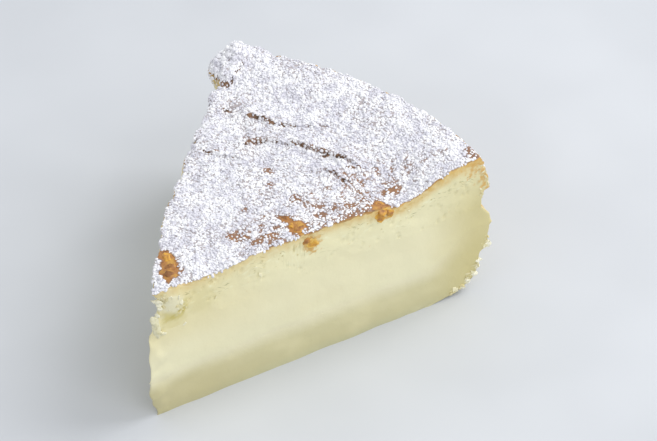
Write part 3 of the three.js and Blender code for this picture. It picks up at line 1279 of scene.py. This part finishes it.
@dataclass(frozen=True)
class Flake:
    """A bit of crust or crumb that clings to the slice."""

    middle: Vector
    outwards: Vector  # from what it clings to
    length: float
    width: float
    thickness: float
    turn: float  # about its outward direction, in degrees
    tone: float = 0.5  # in the middle, from dark, at 0, to cream, at 1

    def matrix(self) -> Matrix:
        """Takes a ball of diameter 1 to the flake's place and size.

        Returns:
            The matrix.
        """
        facing = self.outwards.to_track_quat("Z", "Y").to_matrix().to_4x4()
        spun = Matrix.Rotation(math.radians(self.turn), 4, "Z")
        size = Matrix.Diagonal((self.length, self.width, self.thickness, 1.0))
        return Matrix.Translation(self.middle) @ facing @ spun @ size


@dataclass
class Flakes:
    """The larger bits of one kind that lie on the slice, as one piece."""

    name: str
    flakes: tuple[Flake, ...]
    finish: FlakeFinish
    slot: str = "sponge"
    roughness: float = 0.45 * MM
    waves: Span = (1.6 * MM, 0.6 * MM)  # of its roughness
    paler_edge: float = 0.3  # in tone
    fineness: int = 4  # of a flake's ball

    def build(self) -> Object:
        """Models the flakes and dresses them.

        Returns:
            The finished piece.
        """
        mesh = bmesh.new()
        tone = mesh.verts.layers.float.new("tone")
        for flake in self.flakes:
            ball = bmesh.ops.create_icosphere(mesh, subdivisions=self.fineness, radius=0.5)["verts"]
            for vertex in ball:
                vertex[tone] = flake.tone + self.paler_edge * step(vertex.co.xy.length, 0.2, 0.5)
            bmesh.ops.transform(mesh, matrix=flake.matrix(), verts=ball)
        for vertex in mesh.verts:
            coarse, fine = (Field.FLAKE.push(vertex.co, wave) for wave in self.waves)
            vertex.co += (coarse + 0.5 * fine) * self.roughness
        for face in mesh.faces:
            face.smooth = True
        bmesh.ops.recalc_face_normals(mesh, faces=mesh.faces)
        return add_piece(mesh_of(mesh, self.name), self.slot, self.finish.make())


class BitShape(Enum):
    """Shapes of small loose things, from the coarsest to the finest."""

    OCTAHEDRON = "octahedron"
    ICOSAHEDRON = "icosahedron"
    LUMP = "lump"

    def template(self) -> tuple[np.ndarray, np.ndarray]:
        """A shape of diameter 1.

        Returns:
            Its vertices and its triangles.
        """
        mesh = bmesh.new()
        if self is BitShape.OCTAHEDRON:
            bmesh.ops.create_uvsphere(mesh, u_segments=4, v_segments=2, radius=0.5)
        else:
            finer = 2 if self is BitShape.LUMP else 1
            bmesh.ops.create_icosphere(mesh, subdivisions=finer, radius=0.5)
        mesh.verts.index_update()
        points = np.array([v.co[:] for v in mesh.verts])
        faces = np.array([[v.index for v in f.verts] for f in mesh.faces])
        mesh.free()
        return points, faces


@dataclass
class Bed:
    """The surface of a finished piece that small things lie on."""

    points: np.ndarray  # corners of its triangles
    normals: np.ndarray
    weights: np.ndarray  # how many things lie there, at each corner

    DECIMALS = 7  # of a place, in metres, that count in sorting
    UPRIGHT = 0.3  # of what falls on a level face stays on an upright one

    @classmethod
    def of(cls, piece: Object, attribute: str) -> "Bed":
        """Reads a piece's mesh, its triangles sorted by place, so that a draw finds the same ones again.

        Args:
            piece: The finished piece.
            attribute: The attribute that says how many things lie at a vertex.

        Returns:
            The bed.
        """
        data = piece.data
        data.calc_loop_triangles()
        corners = cls._rows(data.loop_triangles, "vertices", np.int32)
        points = cls._rows(data.vertices, "co").astype(float)
        normals = cls._rows(data.vertex_normals, "vector").astype(float)
        weights = cls._rows(data.attributes[attribute].data, "value", width=1)[:, 0].astype(float)
        ranks = np.empty(len(points), int)
        ranks[np.lexsort(points.T.round(cls.DECIMALS))] = np.arange(len(points))
        corners = np.take_along_axis(corners, ranks[corners].argsort(1), 1)
        corners = corners[np.lexsort(ranks[corners].T)]
        return cls(points[corners], normals[corners], weights[corners])

    @staticmethod
    def _rows(
        items: bpy.types.bpy_prop_collection, name: str, kind: type = np.float32, width: int = 3
    ) -> np.ndarray:
        """Reads one property of a mesh's items.

        Args:
            items: The items.
            name: The property.
            kind: The type of its numbers.
            width: How many numbers each item has.

        Returns:
            A row for each item.
        """
        numbers = np.empty(len(items) * width, kind)
        items.foreach_get(name, numbers)
        return numbers.reshape(-1, width)

    def spread(
        self, bits: "Bits", rng: np.random.Generator, tries: int = 5
    ) -> tuple[np.ndarray, np.ndarray]:
        """Scatters places over the bed.

        Args:
            bits: The things that are to lie there.
            rng: The random draw.
            tries: Draws for each place that is wanted.

        Returns:
            The places and the bed's normals there.
        """
        edges = self.points[:, 1:] - self.points[:, :1]
        odds = np.linalg.norm(np.cross(edges[:, 0], edges[:, 1]), axis=1)
        if bits.fallen:
            odds = odds * (self.UPRIGHT + (1 - self.UPRIGHT) * self.normals[:, :, 2].mean(1).clip(0))
        odds = odds * (self.weights.mean(1) - bits.least).clip(0) ** bits.gather
        faces = rng.choice(len(odds), bits.count * tries, p=odds / odds.sum())
        shares = rng.dirichlet((1, 1, 1), len(faces))[:, :, None]
        points = (self.points[faces] * shares).sum(1)
        kept = self._apart(points, bits.spacing, bits.count)
        normals = (self.normals[faces] * shares).sum(1)[kept]
        return points[kept], normals / np.linalg.norm(normals, axis=1, keepdims=True)

    @staticmethod
    def _apart(points: np.ndarray, spacing: float, count: int) -> list[int]:
        """Picks points that keep their distance, in the order that they come.

        Args:
            points: The points to pick from.
            spacing: The least distance between two.
            count: The most points to pick.

        Returns:
            The numbers of the points that are picked.
        """
        taken: dict[tuple[int, int, int], list[np.ndarray]] = {}
        kept = []
        cells = np.floor(points / spacing).astype(int).tolist()
        near = [(x, y, z) for x in (-1, 0, 1) for y in (-1, 0, 1) for z in (-1, 0, 1)]
        places = points.tolist()
        for index, (x, y, z) in enumerate(cells):
            here = places[index]
            others = (p for dx, dy, dz in near for p in taken.get((x + dx, y + dy, z + dz), ()))
            if all(math.dist(here, p) >= spacing for p in others):
                taken.setdefault((x, y, z), []).append(here)
                kept.append(index)
                if len(kept) == count:
                    break
        return kept


@dataclass
class Bits:
    """One kind of small loose thing, as a joined mesh."""

    name: str
    shape: BitShape
    count: int
    smallest: float
    largest: float
    spacing: float  # the least between two
    seed: int
    slot: str = "sponge"
    finish: BitFinish = SUGAR_FINISH
    smooth: bool = True
    fallen: bool = True  # from above, so that few cling to an upright side
    least: float = 0.1  # none where the bed's weight is less
    gather: float = 1.0  # how strongly they keep to where the bed's weight is high
    skew: float = 1.0  # past 1, more of them are small
    stretch: float = 0.15  # of each axis, at random
    unevenness: float = 0.16  # of the shape
    flatness: float = 0.65
    rise: float = 0.15  # of the middle above the bed, in sizes
    bake_map: str = "OFBake"  # a UV map: each bit has a cell of it, so that it keeps its own tone
    cell_reach: float = 0.35  # of a bit's corners from the middle of its cell, in cells

    def turns(self, rng: np.random.Generator, count: int) -> np.ndarray:
        """Random turns.

        Args:
            rng: The random draw.
            count: How many.

        Returns:
            Their matrices.
        """
        q = rng.normal(size=(count, 4))
        w, x, y, z = (q / np.linalg.norm(q, axis=1, keepdims=True)).T
        rows = [
            [1 - 2 * (y * y + z * z), 2 * (x * y - w * z), 2 * (x * z + w * y)],
            [2 * (x * y + w * z), 1 - 2 * (x * x + z * z), 2 * (y * z - w * x)],
            [2 * (x * z - w * y), 2 * (y * z + w * x), 1 - 2 * (x * x + y * y)],
        ]
        return np.array(rows).transpose(2, 0, 1)

    def lay(self, bed: Bed) -> Object:
        """Scatters the bits over a bed and dresses them.

        Args:
            bed: What they lie on.

        Returns:
            The finished piece.
        """
        rng = np.random.default_rng(self.seed)
        places, normals = bed.spread(self, rng)
        count = len(places)
        shape, faces = self.shape.template()
        shares = rng.uniform(0, 1, (count, 1, 1)) ** self.skew
        sizes = self.smallest + (self.largest - self.smallest) * shares
        bumps = 1 + self.unevenness * rng.normal(size=(count, len(shape), 1)).clip(-2, 2)
        bumps = bumps * np.exp(self.stretch * rng.normal(size=(count, 1, 3)).clip(-2, 2))
        turned = np.einsum("nij,nvj->nvi", self.turns(rng, count), shape * bumps)
        normals = normals[:, None]
        upright = (turned * normals).sum(2, keepdims=True) * normals
        points = places[:, None] + sizes * (turned - (1 - self.flatness) * upright + self.rise * normals)
        return self.join(points, faces, rng.uniform(0, 1, count))

    def join(self, points: np.ndarray, faces: np.ndarray, tones: np.ndarray) -> Object:
        """Makes one piece of all bits.

        Args:
            points: Each bit's vertices.
            faces: The triangles of one bit.
            tones: Each bit's tone, 0 to 1.

        Returns:
            The finished piece.
        """
        count, corners = points.shape[:2]
        data = bpy.data.meshes.new(self.name)
        all_faces = (faces[None] + np.arange(count)[:, None, None] * corners).reshape(-1, 3)
        data.from_pydata(points.reshape(-1, 3).tolist(), [], all_faces.tolist())
        data.polygons.foreach_set("use_smooth", np.full(len(all_faces), self.smooth))
        set_numbers(data, "tone", np.repeat(tones, corners))
        grid = math.ceil(math.sqrt(count))
        cells = np.stack(np.divmod(np.arange(count), grid), 1)[:, None]
        turns = np.arange(corners)
        within = 0.5 + self.cell_reach * np.stack([np.cos(turns), np.sin(turns)], 1)
        places = ((cells + within[None]) / grid).reshape(-1, 2)[all_faces.ravel()]
        data.uv_layers.new(name=self.bake_map).uv.foreach_set("vector", places.astype(np.float32).ravel())
        return add_piece(data, self.slot, self.finish.make())


@dataclass
class SugarBits(Bits):
    """Icing sugar: soft flat bits, sunk into one another."""

    gather: float = 2.0
    skew: float = 1.5
    unevenness: float = 0.24
    flatness: float = 0.42
    rise: float = 0.1


@dataclass
class Crumbs(Bits):
    """Crumbs that cling to a torn place: spiky, flat and half sunk in."""

    finish: BitFinish = CRUMB_FINISH
    smooth: bool = False
    fallen: bool = False
    stretch: float = 0.55
    unevenness: float = 0.3
    flatness: float = 0.4
    rise: float = 0.05


@dataclass(frozen=True)
class SoftBox:
    """A soft studio light: a bright square that faces the slice."""

    name: str
    right: float  # its direction from the slice, along the picture's axes
    up: float
    towards: float
    distance: float
    size: float
    power: float


@dataclass
class Studio:
    """Camera, soft lights and a plain pale floor."""

    azimuth: float = math.radians(-56.475)
    elevation: float = math.radians(40.575)
    distance: float = 0.8
    target: Vector = CAKE_CENTRE + Vector((69.522, -7.064, 20.0)) * MM
    focal_share: float = 2984.973 / 657  # focal length over the picture's width
    sensor: float = 36.0
    nearest: float = 0.01  # that the camera sees
    floor_size: float = 6.0
    sky: float = 0.72
    sky_colour: Colour = (0.96, 0.98, 1.0)
    boxes: tuple[SoftBox, ...] = (
        SoftBox("key_light", 0.75, 0.85, 0.35, 0.9, 0.55, 4.5),
        SoftBox("fill_light", 0.5, 0.05, 1.0, 1.0, 0.7, 2.5),
        SoftBox("back_light", -0.9, 0.45, -0.6, 1.0, 0.8, 3.0),
    )

    def axes(self) -> tuple[Vector, Vector, Vector]:
        """Directions to the picture's right, its top and the camera.

        Returns:
            The three directions.
        """
        across, tall = math.cos(self.elevation), math.sin(self.elevation)
        back = Vector((math.sin(self.azimuth) * across, -math.cos(self.azimuth) * across, tall))
        right = Vector((math.cos(self.azimuth), math.sin(self.azimuth), 0.0))
        return right, back.cross(right), back

    def aim(self, data: ID, direction: Vector, distance: float) -> Object:
        """Puts up a camera or a light that faces the slice.

        Args:
            data: The camera or the light.
            direction: Where it stands, from the slice.
            distance: How far away.

        Returns:
            Its object.
        """
        thing = bpy.data.objects.new(data.name, data)
        thing.location = self.target + direction * distance
        thing.rotation_mode = "QUATERNION"
        thing.rotation_quaternion = (-direction).to_track_quat("-Z", "Y")
        bpy.context.scene.collection.objects.link(thing)
        return thing

    def build_camera(self) -> None:
        """Puts the camera where the picture was taken from."""
        data = bpy.data.cameras.new("camera")
        data.sensor_width = self.sensor
        data.lens = self.focal_share * self.sensor
        data.clip_start = self.nearest
        bpy.context.scene.camera = self.aim(data, self.axes()[2], self.distance)

    def build_lights(self) -> None:
        """Puts up the soft boxes and an even pale sky."""
        right, up, back = self.axes()
        for box in self.boxes:
            data = bpy.data.lights.new(box.name, "AREA")
            data.size = box.size
            data.energy = box.power
            direction = right * box.right + up * box.up + back * box.towards
            self.aim(data, direction.normalized(), box.distance)
        world = bpy.data.worlds.new("pale_sky")
        world.use_nodes = True
        sky = world.node_tree.nodes["Background"]
        sky.inputs["Color"].default_value = (*self.sky_colour, 1.0)
        sky.inputs["Strength"].default_value = self.sky
        bpy.context.scene.world = world

    def build_floor(self) -> None:
        """Lays the floor."""
        form = bmesh.new()
        bmesh.ops.create_grid(form, x_segments=1, y_segments=1, size=self.floor_size / 2)
        data = mesh_of(form, "floor")
        data.materials.append(FloorFinish().make())
        floor = bpy.data.objects.new("floor", data)
        bpy.context.scene.collection.objects.link(floor)

    def build(self) -> None:
        """Sets up the whole studio."""
        self.build_camera()
        self.build_lights()
        self.build_floor()
        bpy.context.scene.view_settings.view_transform = "Standard"


BASE_FINISH = SetFinish(
    "firm_base",
    (
        # the floor end is darkest: painted shade near the floor; the base's deeper tone is partly its own
        # and partly painted shade
        (0.0, tint(196, 192, 153)),
        (0.25, tint(204, 197, 154)),
        (0.66, tint(210, 203, 160)),
        (1.0, tint(228, 222, 188)),
    ),
    gold_share=0.3,
    point_tone=tint(188, 178, 132),
    point_share=0.5,
)
CUSTARD_FINISH = SetFinish(
    "soft_custard",
    (
        (0.0, tint(228, 222, 188)),
        (0.12, tint(232, 227, 191)),
        (0.6, tint(234, 228, 191)),
        (1.0, tint(232, 226, 188)),
    ),
    point_share=0.3,
    point_fade=(0.4, 1.0),
)
SPONGE_FINISH = SpongeFinish(
    "speckled_sponge",
    (
        (0.0, tint(232, 226, 188)),
        (0.3, tint(235, 229, 190)),
        (1.0, tint(233, 226, 182)),
    ),
    gold_share=0.75,
    point_share=0.3,
    point_fade=(-1.0, 0.0),
    rim_fade=0.7,
    roughness=0.6,
)


Row = tuple[float, ...]


def course(*stations: Row) -> tuple[Vector, ...]:
    """A line on the crust in plan, through places given by radius and angle."""
    return tuple(spot(*station) for station in stations)


def zones(*rows: Row) -> tuple[Zone, ...]:
    """Zones by radius, angle and height, reach in millimetres, and share."""
    return tuple(Zone(spot(*row[:3]), row[3] * MM, *row[4:]) for row in rows)


def bare_patches(*rows: Row) -> tuple[BarePatch, ...]:
    """Bare patches by radius, angle, heading, half length and half width in millimetres, and the rest."""
    return tuple(BarePatch(spot(*row[:2]), row[2], row[3] * MM, row[4] * MM, *row[5:]) for row in rows)


def flakes(*rows: tuple[Row | Vector | float, ...]) -> tuple[Flake, ...]:
    """Makes flakes from a table.

    Args:
        *rows: For each flake its place, outward direction, sizes in millimetres, turn and tone.

    Returns:
        The flakes.
    """
    made = []
    for place, outwards, sizes, *rest in rows:
        made.append(Flake(spot(*place), outwards, *(size * MM for size in sizes), *rest))
    return tuple(made)


WRINKLES = (
    Wrinkle(course((73.3, 18), (74, 13), (73.6, 10), (75.2, 5.5), (77, 2), (82, -2)), 0.5 * MM),
    Wrinkle(course((61.6, 15), (65.5, 11), (67.4, 4), (68.5, 0), (69.4, -6), (73, -15)), 0.55 * MM),
    Wrinkle(course((64, -7.5), (65.5, -10.4), (65.3, -13.8), (67.6, -17)), 0.4 * MM),
    Wrinkle(course((57, 25), (56.3, 20), (57, 15), (56.7, 10)), 0.4 * MM, 0.7),
    Wrinkle(course((84.4, 24), (83.8, 22), (85, 21.3), (88.4, 20.6), (92, 19.6)), 0.4 * MM, 0.5),
    Wrinkle(course((75.5, 22.5), (75.2, 20), (77.3, 18.5)), 0.35 * MM, 0.6),
)
BARE_PATCHES = bare_patches(
    (11.8, 14, 40, 5.1, 2.5),
    (14.8, 24, 20, 2.2, 1.8),
    (8.6, 5, 20, 2.2, 1.9),
    (44.2, -22, -26, 2.9, 2.4),
    (43.8, -17, 73, 2.6, 1.4, 0.75),
    (67.8, -25.2, -26, 2.9, 2.1),
    (59.5, -23.4, -24, 4.6, 2.2, 0.16, 0.4),
    (30.6, -10, 80, 3.2, 1.9, 0.5),
    (36.5, -20.5, -26, 6.0, 2.2, 0.16, 0.5),
    (74.5, -21.8, -30, 2.5, 1.3, 0.36),
    (51.2, -9.8, 0, 1.5, 1.1, 0.3),
    (51.2, -1.0, 0, 1.4, 1.2, 0.3),
    (55.7, 2.8, 45, 1.9, 1.5, 0.28),
    (39.8, -1.0, 0, 1.2, 0.8, 0.24),
    (70.2, -5.5, -72, 6.0, 1.8, 0.15),
    (65.6, 12.0, -80, 3.6, 1.6, 0.15),
    (65.4, -11.5, -75, 5.0, 2.0, 0.15),
    (97.0, -24.5, 64, 2.0, 3.4, 0.4),
    (79.0, 19.0, -70, 4.0, 2.2, 0.09),
    (54.0, -4.0, 0, 8, 8, 0.07),
    (59.0, -19, -22, 29, 7.5, 0.18, 0.6),
)
# The wrinkles' deepest places: the barest sugar and the darkest painted shade in the creases.
DIPS = bare_patches(
    (73.6, 15.3, -75, 0.75, 0.42, 0.85),
    (73.7, 13.4, -75, 0.8, 0.3, 0.45),
    (73.6, 10.1, -80, 0.5, 0.35, 0.60),
    (74.1, 7.6, -60, 0.7, 0.4, 0.68),
    (66.2, 11.0, 40, 0.8, 0.3, 0.22),
    (65.8, 9.2, -75, 0.9, 0.25, 0.22),
    (68.2, 0.5, -70, 0.55, 0.4, 0.60),
    (69.2, -1.8, -60, 0.7, 0.5, 0.34),
    (69.8, -5.2, -75, 1.6, 0.3, 0.41),
    (68.6, -5.8, -60, 1.1, 0.3, 0.34),
    (70.6, -8.6, -50, 1.0, 0.3, 0.34),
    (69.9, -12.2, -60, 1.2, 0.3, 0.34),
    (65.2, -14.1, -70, 0.65, 0.45, 0.60),
    (66.2, -15.8, -30, 0.8, 0.3, 0.34),
    (56.5, 21.4, -70, 1.1, 0.32, 0.45),
    (57.1, 19.0, -50, 1.0, 0.3, 0.38),
    (56.0, 16.4, -60, 0.9, 0.3, 0.34),
    (75.3, 20.5, -70, 1.1, 0.3, 0.38),
    (83.9, 22.4, -70, 1.6, 0.5, 0.45),
    (85.4, 21.1, 20, 0.9, 0.4, 0.35),
    (87.4, 20.7, 10, 0.8, 0.3, 0.25),
    (90.5, 20.0, 10, 0.8, 0.28, 0.23),
)
TORN_SPONGE = zones(
    (2.6, -15, 38.5, 2.4, 4),
    (8.5, -29, 34.5, 2.2, 1.5),
    (18, -26, 34, 3, 0.25),
    (31, -26, 36.5, 4, 0.25),
    (41, -26, 38, 4, 0.25),
    (62, -26, 36, 4, 0.2),
    (76, -26, 36, 4, 0.2),
    (99, -25.5, 42, 4, 0.7),
    (100, -25.5, 34, 3.5, 0.8),
)
TORN_BASE = zones(
    (90.5, -25.8, 0.5, 2.5),
    (93.5, -25.8, 1.5, 3),
    (97, -25.8, 4.5, 3.5),
    (99.5, -25.8, 9, 3),
    (101, -25.8, 15, 3, 0.6),
)
STAINS = {
    "groove": zones(
        (4.5, -27, 32.6, 2.6, 0.5),
        (7.3, -30, 32.3, 2.6, 0.45),
        (6.0, -28, 30.5, 5.0, 0.25),
        (14, -26, 33, 6.0, 0.2),
        (8.9, -29.6, 35.8, 1.8, 0.5),
        (8.5, -28.9, 33.6, 1.8, 0.4),
    ),
    "block": zones((5.2, -28, 36.4, 4.6, 0.6)),
    "combed": zones((42.5, -26, 37, 6, 0.4)),
    "baked": zones(
        (98, -26, 43, 7, 0.8),
        (100, -25, 35, 5, 0.6),
        (46.6, -26, 38.4, 3.8, 0.95),
        (68.2, -26, 38.6, 3.4, 0.8),
        (73, -26, 41, 3.2, 0.8),
        (100, 0, 43, 20, 0.4),
        (100, 20, 43, 20, 0.4),
    ),
}
SPILLS = zones(
    (87, 26, 43.5, 5, 0.9),
    (80, 26, 42, 5, 0.8),
    (99.5, -25, 43.5, 4, 0.4),
    (90, 25.6, 45.5, 6, 1.2),
)
LUMPY = zones(
    (93, 24, 49, 7),
    (86, 25, 46, 4, 0.7),
    (73, 26, 42, 3, 0.6),
    (60, 26, 42, 3, 0.6),
    (5, 20, 41.5, 3, 0.5),
)
RUMPLED = zones(
    (72, 19, 42, 16, 1.2),
    (60, 22, 42, 12, 0.5),
)
OUT_OF_CUT = Vector((-math.sin(HALF_ANGLE), -math.cos(HALF_ANGLE), 0.0))  # of the near cut
UP = Vector((0.0, 0.0, 1.0))
OUT_OF_POINT = Vector((-0.55, 0.83, 0.0))  # past the slice's point, to the far side
TORN_POINT = Vector((-0.45, -0.86, 0.15))  # on its near side
OUT_OF_RIM = Vector((math.cos(HALF_ANGLE), -math.sin(HALF_ANGLE), 0.0))  # at the near cut
SWELLS = (
    Swell(spot(92.5, 24.8, 49), 7 * MM, move=Vector((0.0, -1.45, -0.9)) * MM),
    Swell(spot(83.8, 25, 43.5), 3.5 * MM, move=OUT_OF_POINT * (-1.4 * MM)),
    Swell(spot(59.5, 26, 42), 4.5 * MM, move=OUT_OF_POINT * (-1.1 * MM)),
    Swell(spot(48, 27, 42), 4.5 * MM, move=OUT_OF_POINT * (-1.0 * MM)),
    Swell(spot(31, 27, 42), 7 * MM, move=OUT_OF_POINT * (1.3 * MM)),
    Swell(spot(22.5, 26.5, 42), 6 * MM, move=OUT_OF_POINT * (0.9 * MM)),
)
CRUST_FLAKES = flakes(
    ((46.4, -26, 38.6), OUT_OF_CUT, (4.6, 2.6, 0.3), -28, 0.62),
    ((44.8, -26, 39.7), OUT_OF_CUT, (2.2, 1.8, 0.8), 30, 0.2),
    ((69.0, -26, 38.9), OUT_OF_CUT, (4.2, 2.8, 0.6), -30, 0.42),
    ((67.2, -26, 38.4), OUT_OF_CUT, (3.2, 3.6, 0.6), 20, 0.45),
    ((67.6, -25.3, 40.4), Vector((0.1, -0.5, 1.0)), (4.6, 3.0, 0.9), 40, 0.2),
    ((44.4, -22.4, 42.0), UP, (3.6, 2.4, 1.0), 10, 0.2),
    ((43.4, -19.5, 42.0), UP, (2.4, 1.6, 1.0), 60, 0.4),
    ((14.4, 20.5, 41.8), UP, (3.2, 2.2, 1.5), 40, 0.45),
    ((11.2, 11, 41.8), UP, (3.4, 2.8, 1.7), -30, 0.1),
    ((8.6, 5, 41.7), UP, (3.2, 2.8, 1.6), 10, -0.1),
)
CRUMB_FLAKES = flakes(
    ((2.1, -6, 37.9), OUT_OF_POINT + 0.3 * UP, (1.0, 1.1, 3.4), 10),
    ((2.6, -12, 36.9), OUT_OF_POINT, (1.1, 1.5, 2.2), 40),
    ((0.9, -30, 30.4), TORN_POINT, (2.4, 7.0, 1.5), 6, 0.2),
    ((2.3, -36, 28.0), TORN_POINT, (2.2, 1.4, 0.9), -20, 0.25),
    ((8.9, -26.8, 28.1), OUT_OF_CUT, (1.1, 0.7, 0.5), 30, 0.6),
    ((2.6, -20, 35.8), OUT_OF_POINT, (1.2, 1.4, 1.6), -20),
    ((1.9, -4, 33.4), OUT_OF_POINT, (1.2, 1.5, 1.4), 35),
    ((1.5, 12, 31.2), OUT_OF_POINT, (1.0, 1.7, 1.2), -15),
    ((1.3, -12, 28.4), OUT_OF_POINT, (0.9, 1.4, 1.0), 25),
    ((3.2, -18, 39.2), OUT_OF_CUT, (1.4, 0.8, 0.8), 20),
    ((5.2, -28.5, 38.3), OUT_OF_CUT, (1.6, 0.8, 0.6), -10),
    ((7.6, -29.5, 38.0), OUT_OF_CUT, (1.2, 0.7, 0.6), 40),
    ((8.3, -29.4, 36.2), OUT_OF_CUT, (1.5, 0.7, 0.6), 80),
    ((7.0, -29, 34.0), OUT_OF_CUT, (1.7, 0.7, 0.6), -15),
    ((4.6, -28, 34.6), OUT_OF_CUT, (1.2, 0.6, 0.6), 10),
)
# Their tone of 0.8, near cream, is partly their own pale tone and partly painted light from behind.
RIM_FLAKES = flakes(
    ((101.0, -25.8, 13.8), OUT_OF_RIM, (0.9, 2.4, 2.0), 10, 0.8),
    ((98.4, -25.8, 9.6), OUT_OF_RIM, (1.0, 1.6, 2.2), -20, 0.8),
    ((97.9, -25.8, 7.2), OUT_OF_RIM - 0.4 * UP, (0.9, 1.9, 2.2), 30, 0.8),
    ((97.1, -25.8, 5.0), OUT_OF_RIM - 0.7 * UP, (1.1, 1.5, 2.4), -10, 0.8),
    ((95.2, -25.8, 3.1), OUT_OF_RIM - 0.9 * UP, (1.0, 1.7, 2.0), 15, 0.8),
    ((93.1, -25.8, 1.9), OUT_OF_RIM - 0.5 * UP, (1.0, 1.2, 1.8), 35, 0.8),
)
CRUMB_FLAKE_FINISH = FlakeFinish(
    "pale_flakes",
    dark=tint(206, 199, 158),
    brown=tint(222, 217, 184),
    gold=tint(229, 225, 198),
    cream=tint(237, 234, 212),
)
SUGAR = (
    SugarBits("sugar_clumps", BitShape.ICOSAHEDRON, 900, 0.8 * MM, 1.35 * MM, 1.3 * MM, 11, gather=3),
    SugarBits("sugar_grains", BitShape.ICOSAHEDRON, 7600, 0.5 * MM, 1.05 * MM, 0.58 * MM, 12),
    SugarBits("sugar_dust", BitShape.OCTAHEDRON, 7000, 0.22 * MM, 0.4 * MM, 0.3 * MM, 13),
)
SUGAR_LUMPS = Bits("sugar_lumps", BitShape.LUMP, 44, 0.9 * MM, 1.6 * MM, 1.4 * MM, 16, unevenness=0.25)
SPONGE_CRUMBS = Crumbs("sponge_crumbs", BitShape.OCTAHEDRON, 70, 0.5 * MM, 1.2 * MM, 0.8 * MM, 14)
BASE_CRUMBS = Crumbs("base_crumbs", BitShape.OCTAHEDRON, 90, 0.6 * MM, 1.5 * MM, 0.8 * MM, 15, "base")


def main() -> None:
    """Builds the slice round its solids."""
    logging.basicConfig(level=logging.INFO, format="%(message)s")
    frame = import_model()
    noise.seed_set(RELIEF_SEED)
    Studio().build()

    layers = (
        Layer("base_layer", "firm_base", "base", BASE_FINISH, TORN_BASE),
        Layer("custard_layer", "soft_custard", "custard", CUSTARD_FINISH),
        SpongeLayer(
            "sponge_layer",
            "sugared_sponge",
            "sponge",
            SPONGE_FINISH,
            TORN_SPONGE,
            cover=SugarCover(BARE_PATCHES),
            wrinkles=WRINKLES,
            dips=DIPS,
            stains=STAINS,
            spills=SPILLS,
            lumpy=LUMPY,
            swells=SWELLS,
            rumpled=RUMPLED,
        ),
    )
    heaps = (
        Flakes("crust_flakes", CRUST_FLAKES, FlakeFinish()),
        Flakes("crumb_flakes", CRUMB_FLAKES, CRUMB_FLAKE_FINISH),
        Flakes("rim_flakes", RIM_FLAKES, CRUMB_FLAKE_FINISH, "base"),
    )
    pieces = {layer.name: layer.build(frame["nodes"][layer.node]) for layer in layers}
    pieces |= {heap.name: heap.build() for heap in heaps}
    sponge, base = pieces["sugared_sponge"], pieces["firm_base"]
    beds = (
        (Bed.of(sponge, "cover"), SUGAR),
        (Bed.of(sponge, "lumpy"), (SUGAR_LUMPS,)),
        (Bed.of(sponge, "torn"), (SPONGE_CRUMBS,)),
        (Bed.of(base, "torn"), (BASE_CRUMBS,)),
    )
    pieces |= {bits.name: bits.lay(bed) for bed, kinds in beds for bits in kinds}
    for name, piece in pieces.items():
        LOG.info("%s: %d faces", name, len(piece.data.polygons))


if __name__ == "__main__":
    main()
